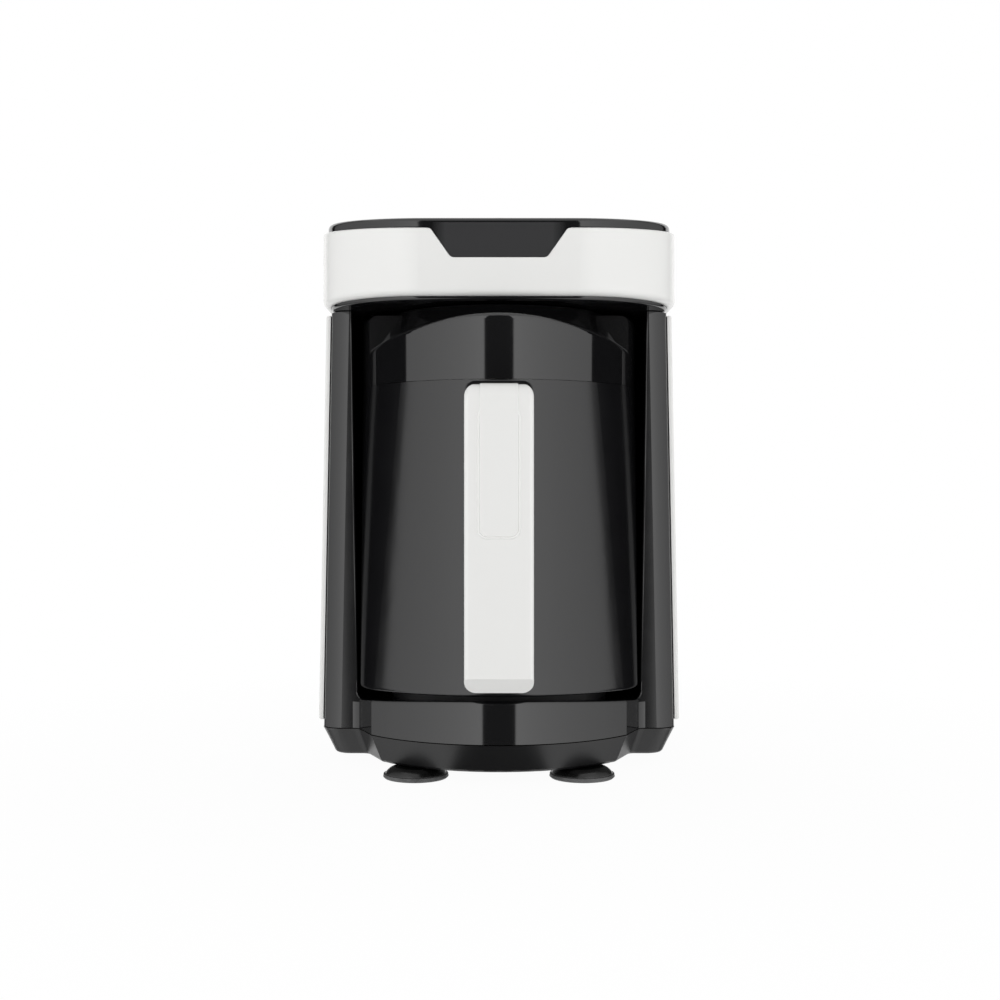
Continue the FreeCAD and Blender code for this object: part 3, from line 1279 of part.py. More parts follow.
def is_inlay_outline(edge):
    """The inlay's outline on its outer face: sides, bend and lower end."""
    middle = edge.valueAt((edge.FirstParameter + edge.LastParameter) / 2)
    bend = size("handle_bend_radius + inlay_proud")
    bend_y, bend_z = size("handle_front_y") + bend, size("handle_high_z + inlay_proud") - bend
    on_front = near(middle.y, size("handle_front_y"), 0.01)
    on_top = near(middle.z, size("handle_high_z + inlay_proud"), 0.01)
    on_bend = (middle.y < bend_y and middle.z > bend_z
               and near(math.hypot(middle.y - bend_y, middle.z - bend_z), bend, 0.01))
    at_side = near(abs(middle.x), size("inlay_half"), 0.01)
    at_end = middle.z < size("inlay_low_z + inlay_radius")
    return (at_side and (on_front or on_top or on_bend)) or (at_end and on_front)


def make_bracket(back, pot_solid):
    front_view = rounded_rectangle("-handle_half - 0.3", "handle_half + 0.3", "handle_low_z + 1",
                                   "handle_high_z + bracket_margin", "handle_corner_radius",
                                   "handle_shoulder_radius + 1")
    spine_back = back + " + bracket_thickness"
    side = prism_x("bracket_side", [
        (back, "handle_low_z + 1"),
        ("pot_axis_y - pot_radius + 6", "handle_low_z + 1"),
        ("pot_axis_y - pot_radius + 6", "handle_low_z + 1 + bracket_arm_height"),
        ("(%s) + 5" % spine_back, "handle_low_z + 1 + bracket_arm_height", ("5", -1)),
        (spine_back, "handle_low_z + 6 + bracket_arm_height"),
        (spine_back, "handle_high_z - 4 - bracket_arm_height", ("5", -1)),
        ("(%s) + 5" % spine_back, "handle_high_z + 1 - bracket_arm_height"),
        ("pot_axis_y - pot_radius + 6", "handle_high_z + 1 - bracket_arm_height"),
        ("pot_axis_y - pot_radius + 6", "handle_high_z + bracket_margin"),
        (back, "handle_high_z + bracket_margin"),
    ], "handle_half + 1")
    outline = prism_y("bracket_outline", front_view, "handle_front_y", "pot_axis_y")
    blank = common("bracket_blank", side, outline)
    holes = []
    screws = []
    for i, z in enumerate(("handle_low_z + 30", "handle_high_z - 30")):
        foot = ("0", "(%s) + 1.2 + screw_head_height" % spine_back, z)
        holes.append(cylinder("handle_screw_hole_%d" % i, "screw_radius + running_gap",
                              ("0", "(%s) - 1" % back, z), "bracket_thickness + 2", "y"))
        head = cylinder("handle_screw_head_%d" % i, "screw_head_radius", ("0", spine_back, z),
                        "screw_head_height * 0.8", "y")
        shank = cylinder("handle_screw_shank_%d" % i, "screw_radius", ("0", back, z), "bracket_thickness + 0.1", "y")
        screws.append(fuse("handle_screw_%d" % i, head, shank))
    finish_node(cut("handle_bracket", blank, pot_solid, *holes), "handle_bracket")
    group = doc.addObject("Part::Compound", "handle_screws")
    group.Links = screws
    finish_node(group, "handle_screws")


def check_document():
    doc.recompute()
    for item in doc.Objects:
        if {"Invalid", "Error"} & set(item.State):
            raise RuntimeError("%s is %s" % (item.Name, item.State))
    for item in FINISHED:
        if item.Shape.isNull() or not item.Shape.isValid():
            raise RuntimeError("%s has no valid shape" % item.Label)


def write_parts():
    os.makedirs("parts", exist_ok=True)
    for item in FINISHED:
        item.Shape.exportStep("parts/%s.step" % item.Label)
        bounds = item.Shape.BoundBox
        print("%-20s solids %d volume %9.1f  x %7.2f %7.2f  y %7.2f %7.2f  z %7.2f %7.2f" % (
            item.Label, len(item.Shape.Solids), item.Shape.Volume, bounds.XMin, bounds.XMax,
            bounds.YMin, bounds.YMax, bounds.ZMin, bounds.ZMax))


make_lower_shell()
make_feet()
make_base_screws()
make_housing()
make_liner()
make_side_panels()
make_head_band()
make_top_cover()
make_underside()
make_button()
make_head_electronics()
make_rear_cover()
make_rear_screws()
make_power_electronics()
make_heater()
make_vessel()
make_collar()
make_handle(make_pot_shell())
check_document()
write_parts()
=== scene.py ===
import json
import math

import bmesh
import bpy
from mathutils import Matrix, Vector


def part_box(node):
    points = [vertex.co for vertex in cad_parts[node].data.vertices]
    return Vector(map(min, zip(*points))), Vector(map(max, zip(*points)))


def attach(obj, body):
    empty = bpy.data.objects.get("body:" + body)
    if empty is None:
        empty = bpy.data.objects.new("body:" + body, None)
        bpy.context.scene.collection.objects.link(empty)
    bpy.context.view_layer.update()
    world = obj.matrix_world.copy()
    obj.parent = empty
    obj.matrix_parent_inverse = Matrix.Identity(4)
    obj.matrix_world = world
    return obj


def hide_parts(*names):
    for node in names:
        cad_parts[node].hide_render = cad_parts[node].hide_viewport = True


# Looks of the electric coffee maker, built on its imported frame.
# Metres; x to the user's right, y away from the user, z up from the surface it stands on.

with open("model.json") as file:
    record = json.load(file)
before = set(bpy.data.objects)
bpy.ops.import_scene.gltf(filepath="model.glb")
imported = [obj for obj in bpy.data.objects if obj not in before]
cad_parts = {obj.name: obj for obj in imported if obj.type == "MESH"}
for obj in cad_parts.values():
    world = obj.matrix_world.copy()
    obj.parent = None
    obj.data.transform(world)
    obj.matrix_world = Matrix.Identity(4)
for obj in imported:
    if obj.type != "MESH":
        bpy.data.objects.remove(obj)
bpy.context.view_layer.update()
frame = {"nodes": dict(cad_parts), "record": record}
MM = 0.001

# Colours, as sRGB hex: each plastic, metal and rubber, with the tone of its patches

BLACK_ABS, BLACK_ABS_PALE = "#0c0c0d", "#0e0e0f"
BLACK_PP, BLACK_PP_PALE = "#060607", "#08080a"
PANEL_GREY = "#383839"
WHITE_ABS, WHITE_ABS_DULL = "#f4f4f2", "#f3f3f1"
STEEL, STEEL_SHADOW = "#c9c7c3", "#a9a7a3"
ZINC, ZINC_SHADOW = "#b9bcc0", "#9a9da1"
ALUMINIUM, ALUMINIUM_SHADOW = "#c4c6c8", "#aaacae"
# The paler rubber tone is a painted highlight on the feet's rim
RUBBER, RUBBER_RIM_HIGHLIGHT = "#050505", "#6a6a6b"
SILICONE, SILICONE_DUST = "#1b1b1d", "#26262a"
SMOKED = "#1a0c0d"
ACRYLIC, ACRYLIC_DULL = "#dfe3e8", "#d6dade"
SOLDER_RESIST, COPPER_GREEN = "#14532d", "#2c7a48"
EPOXY, EPOXY_PALE = "#161618", "#1b1b1e"
PURE_WHITE = "#ffffff"
FLOOR_WHITE = "#f7f7f7"

# Patterns of the surfaces: their spacing and depth in millimetres, and how strongly they
# tilt the surface. Mould grain, scratches and pores are finer than 0.1 mm on the real
# object; here they are drawn about five times as coarse, so that they show.

SINK_WAVE, SINK_DEPTH, SINK_TILT, WHITE_SINK_TILT = 26, 0.05, 0.15, 0.04
HANDLING_HAZE = 9
FLOW_CLOUD = 18
MOULD_GRAIN, EPOXY_GRAIN, GRAIN_DEPTH, GRAIN_TILT = 0.5, 0.4, 0.03, 0.22
SCRATCH_SPACING, SCRATCH_DEPTH, SCRATCH_TILT = 0.4, 0.02, 0.12
PORE_SPACING, PORE_DEPTH, PORE_TILT = 0.6, 0.05, 0.3
DUST_PATCH = 7
# Size of the patches in the painted highlight on the feet's rim
FOOT_HIGHLIGHT_PATCH = 4
TRACK_SPACING, TRACK_HEIGHT, TRACK_TILT = 8, 0.05, 0.3
# Half a track's width, as a share of the spacing
TRACK_HALF = 0.06

# The range in which most of a noise lies, the part of it that gathers dust, and the
# shares by which patches and scratches change a roughness
NOISE_LOW, NOISE_HIGH = 0.3, 0.7
DUST_LOW, DUST_HIGH = 0.45, 0.8
SMOOTHEST, ROUGHEST = 0.93, 1.07
BRUSHED_SMOOTHEST, BRUSHED_ROUGHEST = 0.7, 1.3

# How scratches are drawn out: they run along the axis with the small number
BRUSHED_UPRIGHT = (1.0, 1.0, 0.04)
BRUSHED_SIDEWAYS = (0.04, 1.0, 1.0)
ROLLED_SIDEWAYS = (0.1, 1.0, 1.0)
UNBRUSHED = (1.0, 1.0, 1.0)

# Where the tongue's printed grey ends, in millimetres
TONGUE_GREY_HALF, TONGUE_BLACK_HALF = 22.0, 27.5
TONGUE_GREY_TOP, TONGUE_TOP_FADE = 229.8, 0.3

# A foot's rim band, duller and painted paler as a highlight: where it begins to fade and ends,
# in millimetres of height
RIM_BAND_FULL, RIM_BAND_END = 1.54, 2.2


def linear(hex_colour, alpha=1.0):
    """An sRGB hex colour as linear numbers."""
    parts = [int(hex_colour[i:i + 2], 16) / 255 for i in (1, 3, 5)]
    return tuple(p / 12.92 if p <= 0.04045 else ((p + 0.055) / 1.055) ** 2.4
                 for p in parts) + (alpha,)


def add(tree, kind, values=None, **settings):
    """Adds a shader node with its settings, and its inputs as values or links."""
    made = tree.nodes.new("ShaderNode" + kind)
    for name, value in settings.items():
        setattr(made, name, value)
    for name, value in (values or {}).items():
        if isinstance(value, bpy.types.NodeSocket):
            tree.links.new(value, made.inputs[name])
        else:
            made.inputs[name].default_value = value
    return made


def new_material(name):
    """An empty node material, and its tree."""
    material = bpy.data.materials.new(name)
    material.use_nodes = True
    tree = material.node_tree
    tree.nodes.clear()
    return material, tree


def per_metre(size_mm):
    """Noise scale whose features are about this size."""
    return 1 / (size_mm * MM)


def polished_plastic(name, colour, dull_colour, ior, roughness, tilt=SINK_TILT):
    """Injection-moulded plastic from a polished tool: mirror-like, with the faint
    waves of sink and flow that bend its reflections, and a hint of handling haze."""
    material, tree = new_material(name)
    place = add(tree, "TexCoord").outputs["Object"]
    waves = add(tree, "TexNoise", {
        "Vector": place, "Scale": per_metre(SINK_WAVE), "Detail": 1.0})
    haze = add(tree, "TexNoise", {
        "Vector": place, "Scale": per_metre(HANDLING_HAZE), "Detail": 4.0, "Roughness": 0.6})
    wiped = add(tree, "MapRange", {
        "Value": haze.outputs["Fac"], "From Min": NOISE_LOW, "From Max": NOISE_HIGH,
        "To Min": roughness * SMOOTHEST, "To Max": roughness * ROUGHEST})
    tone = add(tree, "Mix", {
        "Factor": haze.outputs["Fac"], "A": linear(colour), "B": linear(dull_colour)},
        data_type="RGBA")
    surface = add(tree, "Bump", {
        "Height": waves.outputs["Fac"], "Strength": tilt, "Distance": SINK_DEPTH * MM})
    shader = add(tree, "BsdfPrincipled", {
        "Base Color": tone.outputs["Result"], "Roughness": wiped.outputs["Result"],
        "Normal": surface.outputs["Normal"], "IOR": ior})
    add(tree, "OutputMaterial", {"Surface": shader.outputs["BSDF"]})
    return material


def cover_plastic(name, ior, roughness):
    """The top cover's polished black ABS. The tongue that hangs down its front is
    printed dark grey behind a clear lacquer, and fades to black at its upper corners."""
    material, tree = new_material(name)
    place = add(tree, "TexCoord").outputs["Object"]
    spot = add(tree, "SeparateXYZ", {"Vector": place})
    aside = add(tree, "Math", {0: spot.outputs["X"]}, operation="ABSOLUTE")
    inside = add(tree, "MapRange", {
        "Value": aside.outputs[0], "From Min": TONGUE_GREY_HALF * MM,
        "From Max": TONGUE_BLACK_HALF * MM, "To Min": 1.0, "To Max": 0.0})
    below = add(tree, "MapRange", {
        "Value": spot.outputs["Z"], "From Min": (TONGUE_GREY_TOP - TONGUE_TOP_FADE) * MM,
        "From Max": TONGUE_GREY_TOP * MM, "To Min": 1.0, "To Max": 0.0})
    printed = add(tree, "Math", {0: inside.outputs["Result"], 1: below.outputs["Result"]},
                  operation="MULTIPLY")
    tone = add(tree, "Mix", {
        "Factor": printed.outputs[0], "A": linear(BLACK_ABS), "B": linear(PANEL_GREY)},
        data_type="RGBA")
    waves = add(tree, "TexNoise", {
        "Vector": place, "Scale": per_metre(SINK_WAVE), "Detail": 1.0})
    surface = add(tree, "Bump", {
        "Height": waves.outputs["Fac"], "Strength": SINK_TILT, "Distance": SINK_DEPTH * MM})
    shader = add(tree, "BsdfPrincipled", {
        "Base Color": tone.outputs["Result"], "Normal": surface.outputs["Normal"],
        "IOR": ior, "Roughness": roughness})
    add(tree, "OutputMaterial", {"Surface": shader.outputs["BSDF"]})
    return material


def satin_plastic(name, colour, pale_colour, ior, roughness, grain_mm):
    """Injection-moulded plastic from a spark-eroded tool: a fine even grain
    that spreads its highlights into soft bands."""
    material, tree = new_material(name)
    place = add(tree, "TexCoord").outputs["Object"]
    grain = add(tree, "TexNoise", {
        "Vector": place, "Scale": per_metre(grain_mm), "Detail": 2.0})
    cloud = add(tree, "TexNoise", {
        "Vector": place, "Scale": per_metre(FLOW_CLOUD), "Detail": 3.0})
    tone = add(tree, "Mix", {
        "Factor": cloud.outputs["Fac"], "A": linear(colour), "B": linear(pale_colour)},
        data_type="RGBA")
    sheen = add(tree, "MapRange", {
        "Value": cloud.outputs["Fac"], "From Min": NOISE_LOW, "From Max": NOISE_HIGH,
        "To Min": roughness * SMOOTHEST, "To Max": roughness * ROUGHEST})
    surface = add(tree, "Bump", {
        "Height": grain.outputs["Fac"], "Strength": GRAIN_TILT, "Distance": GRAIN_DEPTH * MM})
    shader = add(tree, "BsdfPrincipled", {
        "Base Color": tone.outputs["Result"], "Roughness": sheen.outputs["Result"],
        "Normal": surface.outputs["Normal"], "IOR": ior})
    add(tree, "OutputMaterial", {"Surface": shader.outputs["BSDF"]})
    return material


def scratched_metal(name, colour, shadow, roughness, stretch):
    """Sheet or bar with the fine parallel scratches of its rolling or brushing,
    which draw highlights out across them."""
    material, tree = new_material(name)
    place = add(tree, "TexCoord").outputs["Object"]
    along = add(tree, "Mapping", {"Vector": place, "Scale": stretch})
    scratches = add(tree, "TexNoise", {
        "Vector": along.outputs["Vector"], "Scale": per_metre(SCRATCH_SPACING),
        "Detail": 3.0, "Roughness": 0.7})
    tone = add(tree, "Mix", {
        "Factor": scratches.outputs["Fac"], "A": linear(colour), "B": linear(shadow)},
        data_type="RGBA")
    spread = add(tree, "MapRange", {
        "Value": scratches.outputs["Fac"], "To Min": roughness * BRUSHED_SMOOTHEST,
        "To Max": roughness * BRUSHED_ROUGHEST})
    surface = add(tree, "Bump", {
        "Height": scratches.outputs["Fac"], "Strength": SCRATCH_TILT,
        "Distance": SCRATCH_DEPTH * MM})
    shader = add(tree, "BsdfPrincipled", {
        "Base Color": tone.outputs["Result"], "Roughness": spread.outputs["Result"],
        "Normal": surface.outputs["Normal"], "Metallic": 1.0})
    add(tree, "OutputMaterial", {"Surface": shader.outputs["BSDF"]})
    return material


def moulded_rubber(name, colour, dust_colour, roughness):
    """Compression-moulded rubber: dull, with a bloom of dust in its pores."""
    material, tree = new_material(name)
    place = add(tree, "TexCoord").outputs["Object"]
    pores = add(tree, "TexNoise", {
        "Vector": place, "Scale": per_metre(PORE_SPACING), "Detail": 3.0})
    bloom = add(tree, "TexNoise", {
        "Vector": place, "Scale": per_metre(DUST_PATCH), "Detail": 4.0})
    dusty = add(tree, "MapRange", {
        "Value": bloom.outputs["Fac"], "From Min": DUST_LOW, "From Max": DUST_HIGH})
    tone = add(tree, "Mix", {
        "Factor": dusty.outputs["Result"], "A": linear(colour), "B": linear(dust_colour)},
        data_type="RGBA")
    surface = add(tree, "Bump", {
        "Height": pores.outputs["Fac"], "Strength": PORE_TILT, "Distance": PORE_DEPTH * MM})
    shader = add(tree, "BsdfPrincipled", {
        "Base Color": tone.outputs["Result"], "Normal": surface.outputs["Normal"],
        "Roughness": roughness})
    add(tree, "OutputMaterial", {"Surface": shader.outputs["BSDF"]})
    return material


def foot_rubber(name, roughness, worn_roughness):
    """Glossy black moulded rubber of a foot. Its rim, dulled by the worktop, carries a painted
    highlight: paler in patches.
    """
    material, tree = new_material(name)
    place = add(tree, "TexCoord").outputs["Object"]
    height = add(tree, "SeparateXYZ", {"Vector": place}).outputs["Z"]
    highlight_patches = add(tree, "TexNoise", {
        "Vector": place, "Scale": per_metre(FOOT_HIGHLIGHT_PATCH), "Detail": 3.0})
    rim_dullness_and_highlight = add(tree, "MapRange", {
        "Value": height, "From Min": RIM_BAND_FULL * MM, "From Max": RIM_BAND_END * MM,
        "To Min": 1.0, "To Max": 0.0})
    # Painted highlight: the rim band is painted paler, in patches, where its edge catches the
    # light
    share = add(tree, "Math", {0: rim_dullness_and_highlight.outputs["Result"], 1: highlight_patches.outputs["Fac"]},
                operation="MULTIPLY")
    tone = add(tree, "Mix", {
        "Factor": share.outputs[0], "A": linear(RUBBER), "B": linear(RUBBER_RIM_HIGHLIGHT)},
        data_type="RGBA")
    dull = add(tree, "MapRange", {
        "Value": rim_dullness_and_highlight.outputs["Result"], "To Min": roughness, "To Max": worn_roughness})
    shader = add(tree, "BsdfPrincipled", {
        "Base Color": tone.outputs["Result"], "Roughness": dull.outputs["Result"]})
    add(tree, "OutputMaterial", {"Surface": shader.outputs["BSDF"]})
    return material


def circuit_board(name, roughness):
    """Glass-fibre board under green solder resist: raised tracks 1 mm wide show
    as a paler green."""
    material, tree = new_material(name)
    place = add(tree, "TexCoord").outputs["Object"]
    tracks = add(tree, "TexBrick", {
        "Vector": place, "Scale": per_metre(TRACK_SPACING), "Mortar Size": TRACK_HALF,
        "Color1": linear(SOLDER_RESIST), "Color2": linear(SOLDER_RESIST),
        "Mortar": linear(COPPER_GREEN)})
    surface = add(tree, "Bump", {
        "Height": tracks.outputs["Fac"], "Strength": TRACK_TILT,
        "Distance": TRACK_HEIGHT * MM})
    shader = add(tree, "BsdfPrincipled", {
        "Base Color": tracks.outputs["Color"], "Normal": surface.outputs["Normal"],
        "Roughness": roughness})
    add(tree, "OutputMaterial", {"Surface": shader.outputs["BSDF"]})
    return material


# Finishes. The plastics' IOR is matched to the gloss in the photograph.

# Polished ABS mirrors the softboxes as sharp bands on near-black.
GLOSS_BLACK = polished_plastic("polished_black_abs", BLACK_ABS, BLACK_ABS,
                               ior=1.65, roughness=0.07)
# The same ABS on the top cover, with the tongue's grey print under its gloss.
COVER_BLACK = cover_plastic("polished_black_abs_cover", ior=1.6, roughness=0.08)
# White ABS shows its gloss only as a soft lift of tone.
GLOSS_WHITE = polished_plastic("polished_white_abs", WHITE_ABS, WHITE_ABS_DULL,
                               ior=1.5, roughness=0.24, tilt=WHITE_SINK_TILT)
# Polypropylene with mould grain: broad soft bands, as on the pot's shell.
SATIN_BLACK = satin_plastic("satin_black_polypropylene", BLACK_PP, BLACK_PP_PALE,
                            ior=1.62, roughness=0.2, grain_mm=MOULD_GRAIN)
# Grained ABS of the lower shell, duller than the housing above it.
HALF_GLOSS_BLACK = satin_plastic("half_gloss_black_abs", BLACK_ABS, BLACK_ABS_PALE,
                                 ior=1.5, roughness=0.34, grain_mm=MOULD_GRAIN)
# Smoked polycarbonate: a dark red-brown mirror before the foam sensor.
SMOKED_WINDOW = polished_plastic("smoked_polycarbonate_window", SMOKED, SMOKED,
                                 ior=1.58, roughness=0.05)
# Milky acrylic of the button's light ring: pale, even, a little shiny.
MILKY_GUIDE = polished_plastic("milky_acrylic_light_guide", ACRYLIC, ACRYLIC_DULL,
                               ior=1.49, roughness=0.3)
# Moulded epoxy of relays and transformers: dull, dark grey.
EPOXY_CASE = satin_plastic("moulded_epoxy_case", EPOXY, EPOXY_PALE,
                           ior=1.5, roughness=0.5, grain_mm=EPOXY_GRAIN)
# Stainless steel brushed up and down the vessel's wall: long soft glints.
TURNED_STEEL = scratched_metal("brushed_stainless_steel", STEEL, STEEL_SHADOW,
                               roughness=0.3, stretch=BRUSHED_UPRIGHT)
# Stainless plate ground from side to side, where pot and heater meet.
FLAT_STEEL = scratched_metal("ground_stainless_plate", STEEL, STEEL_SHADOW,
                             roughness=0.28, stretch=BRUSHED_SIDEWAYS)
# Zinc plating: a bluish, slightly mottled grey.
SCREW_ZINC = scratched_metal("zinc_plated_screw", ZINC, ZINC_SHADOW,
                             roughness=0.3, stretch=UNBRUSHED)
# Rolled aluminium of heater parts: pale, with faint lines of the rolls.
ROLLED_ALUMINIUM = scratched_metal("rolled_aluminium", ALUMINIUM, ALUMINIUM_SHADOW,
                                   roughness=0.4, stretch=ROLLED_SIDEWAYS)
# Rubber feet: shiny domes on a duller rim with a painted highlight in grey patches.
FOOT_RUBBER = foot_rubber("moulded_foot_rubber", roughness=0.22, worn_roughness=0.5)
# Silicone seal round the heating plate: dull and a little dusty.
SEAL_SILICONE = moulded_rubber("moulded_silicone", SILICONE, SILICONE_DUST, roughness=0.5)
# Solder resist: glossy green over copper tracks.
GREEN_BOARD = circuit_board("solder_resist_board", roughness=0.35)

SLOT_FINISH = {
    "black_gloss": GLOSS_BLACK,
    "black_satin": SATIN_BLACK,
    "white_gloss": GLOSS_WHITE,
    "brushed_steel": TURNED_STEEL,
    "screw_steel": SCREW_ZINC,
    "foot_rubber": FOOT_RUBBER,
    "silicone": SEAL_SILICONE,
    "smoked_window": SMOKED_WINDOW,
    "light_guide": MILKY_GUIDE,
    "circuit_board": GREEN_BOARD,
    "component_black": EPOXY_CASE,
    "element_metal": ROLLED_ALUMINIUM,
}
OWN_FINISH = {
    "top_cover": COVER_BLACK,
    "lower_shell": HALF_GLOSS_BLACK,
    "heater_plate": FLAT_STEEL,
    "pot_base_disc": FLAT_STEEL,
}


def finish_cad_nodes():
    """Every node of the frame gets the finish of its slot, or its own."""
    slots = {part["node"]: part["material_slot"] for part in frame["record"]["subparts"]}
    for name, node in frame["nodes"].items():
        node.data.materials.clear()
        node.data.materials.append(OWN_FINISH.get(name, SLOT_FINISH[slots[name]]))


# Rear cover, with the vents that cool the boards; millimetres

COVER_RISE = 3.2
COVER_CORNER = 4.0
COVER_EDGE = 0.35
SCREW_INSET_X, SCREW_INSET_Z = 8.0, 9.0
SCREW_HOLE_RADIUS = 3.15
INLET_HOLE_RADIUS = 5.3
INLET_HEIGHT = 33.0
VENT_HALF, VENT_HEIGHT, VENT_PITCH, VENT_LOW, VENT_COUNT = 44.0, 2.4, 6.0, 138.0, 7

# Steps in which a round corner and a round edge are made, and how near corners are joined
CORNER_STEPS = 6
EDGE_STEPS = 2
JOIN_REACH = 1e-6


def rounded_outline(x0, z0, x1, z1, radius, steps=CORNER_STEPS):
    """Corners of a rectangle with round corners, all in millimetres."""
    points = []
    for cx, cz, start in ((x1 - radius, z0 + radius, -90), (x1 - radius, z1 - radius, 0),
                          (x0 + radius, z1 - radius, 90), (x0 + radius, z0 + radius, 180)):
        for i in range(steps + 1):
            turn = math.radians(start + 90 * i / steps)
            points.append((cx + radius * math.cos(turn), cz + radius * math.sin(turn)))
    return points


def mesh_of(curve):
    """The mesh that a curve makes."""
    shape = bpy.data.objects.new(curve.name, curve)
    bpy.context.scene.collection.objects.link(shape)
    bpy.context.view_layer.update()
    evaluated = shape.evaluated_get(bpy.context.evaluated_depsgraph_get())
    mesh = bpy.data.meshes.new_from_object(evaluated)
    bpy.data.objects.remove(shape)
    return mesh


def finish_piece(name, mesh, middle_y, finish, body):
    """Stands a mesh that was drawn flat upright at its depth, with its double
    corners joined, and gives it its finish."""
    work = bmesh.new()
    work.from_mesh(mesh)
    bmesh.ops.remove_doubles(work, verts=work.verts, dist=JOIN_REACH)
    for vertex in work.verts:
        x, z, depth = vertex.co
        vertex.co = (x, middle_y - depth, z)
    bmesh.ops.recalc_face_normals(work, faces=work.faces)
    work.to_mesh(mesh)
    work.free()
    mesh.materials.clear()
    mesh.materials.append(finish)
    piece = bpy.data.objects.new(name, mesh)
    bpy.context.scene.collection.objects.link(piece)
    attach(piece, body)
    return piece


def add_outline(curve, outline):
    """Adds a closed outline, in millimetres, to a curve."""
    spline = curve.splines.new("POLY")
    spline.points.add(len(outline) - 1)
    spline.use_cyclic_u = True
    for point, (x, z) in zip(spline.points, outline):
        point.co = (x * MM, z * MM, 0, 1)


def moulded_plate(name, outlines, front, back, edge, finish, body):
    """Flat plate between two depths with softened edges: its outline first, then
    its holes."""
    curve = bpy.data.curves.new(name + "_outline", "CURVE")
    curve.dimensions = "2D"
    curve.fill_mode = "BOTH"
    curve.extrude = (abs(back - front) / 2 - edge) * MM
    curve.bevel_depth = edge * MM
    curve.bevel_resolution = EDGE_STEPS
    curve.offset = -edge * MM
    for outline in outlines:
        add_outline(curve, outline)
    return finish_piece(name, mesh_of(curve), (front + back) / 2 * MM, finish, body)


def build_vented_cover():
    """The moulded rear cover: softened edges, seven cooling slots, holes for its
    screws and for the cord's inlet. It reaches up to the head."""
    low, high = (corner / MM for corner in map(Vector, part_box("rear_cover")))
    outlines = [rounded_outline(low.x, low.z, high.x, high.z + COVER_RISE, COVER_CORNER)]
    for i in range(VENT_COUNT):
        foot = VENT_LOW + i * VENT_PITCH
        outlines.append(rounded_outline(-VENT_HALF, foot, VENT_HALF, foot + VENT_HEIGHT,
                                        VENT_HEIGHT / 2))
    holes = [(x, z, SCREW_HOLE_RADIUS)
             for x in (low.x + SCREW_INSET_X, high.x - SCREW_INSET_X)
             for z in (low.z + SCREW_INSET_Z, high.z - SCREW_INSET_Z)]
    holes.append((0.0, INLET_HEIGHT, INLET_HOLE_RADIUS))
    for x, z, radius in holes:
        outlines.append(rounded_outline(x - radius, z - radius, x + radius, z + radius, radius))
    cover = moulded_plate("vented_rear_cover", outlines, low.y, high.y, COVER_EDGE,
                          SATIN_BLACK, "machine")
    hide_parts("rear_cover")


# Handle: the bracket's lip that frames its white top, and the thumb panel's fine
# raised rim; millimetres

LIP_HALF, LIP_LOW, LIP_HIGH, LIP_CORNER = 12.9, 140.0, 161.6, 3.4
LIP_FRONT, LIP_BACK, LIP_EDGE = -89.55, -85.6, 0.3
RIM_HALF, RIM_LOW, RIM_HIGH, RIM_CORNER = 7.75, 101.75, 150.6, 3.4
RIM_DEPTH, RIM_RADIUS = -99.5, 0.5
RIM_CORNER_STEPS, RIM_ROUND_STEPS = 8, 3


def build_handle_details():
    """Black lip behind the handle's top, and a fine bead round the thumb panel."""
    lip = rounded_outline(-LIP_HALF, LIP_LOW, LIP_HALF, LIP_HIGH, LIP_CORNER)
    moulded_plate("handle_bracket_lip", [lip], LIP_FRONT, LIP_BACK, LIP_EDGE,
                  GLOSS_BLACK, "pot")
    curve = bpy.data.curves.new("thumb_panel_rim_line", "CURVE")
    curve.dimensions = "3D"
    curve.bevel_depth = RIM_RADIUS * MM
    curve.bevel_resolution = RIM_ROUND_STEPS
    add_outline(curve, rounded_outline(-RIM_HALF, RIM_LOW, RIM_HALF, RIM_HIGH, RIM_CORNER,
                                       RIM_CORNER_STEPS))
    rim = finish_piece("thumb_panel_rim", mesh_of(curve), RIM_DEPTH * MM,
                       GLOSS_WHITE, "pot")
    rim.data.shade_smooth()


# Studio, in metres. Points of the walls are given for one side as distance from the
# middle and depth; the other side mirrors them.

CAMERA_DISTANCE, CAMERA_HEIGHT = 0.615, 0.116
LENS_MM, FILM_MM = 49.65, 36
SIDE_SHIFT = 0.001
NEAREST_SEEN = 0.01

SOFTBOX_NEAR, SOFTBOX_FAR = Vector((0.15, -0.80)), Vector((0.62, -0.124))
SIDE_WALL_END = Vector((0.55, 0.42))
WALL_LOW, WALL_HIGH = -0.6, 1.1
# Brightness at a wall's near and far end, and the length of its faded near edge
SOFTBOX_RADIANCE = (1.78, 1.0)
SIDE_WALL_RADIANCE = (1.0, 0.25)
SOFT_EDGE = 0.025

# The room lights from the sides; above a slight slope it dims towards the ceiling
ROOM_LIGHT, CEILING_LIGHT = 1.44, 0.42
DIM_FROM, DIM_TO = 0.1, 0.9

FLOOR_HALF = 6.0
# How much the floor glows by itself next to the object, and where that fades to all of it
FLOOR_GLOW = 0.96
SHADOW_REACH, GLOW_REACH = 0.1, 0.35

CURTAIN_RADIUS = 1.6
CURTAIN_LOW, CURTAIN_HIGH = -1.5, 2.2
CURTAIN_HALF_TURN = math.radians(140)
CURTAIN_STEPS = 24
GAP_RADIANCE = 0.06
# Two opposite corners of the card, and its height just under the floor
SHADE_CARD = ((-0.026, -0.14), (0.026, -0.05))
SHADE_CARD_HEIGHT = -0.004

# What the dimmer walls are kept off
POT_NODES = ("pot_shell", "pot_collar", "pot_vessel", "pot_base_disc", "handle_cover",
             "handle_inlay", "handle_bracket", "handle_screws")


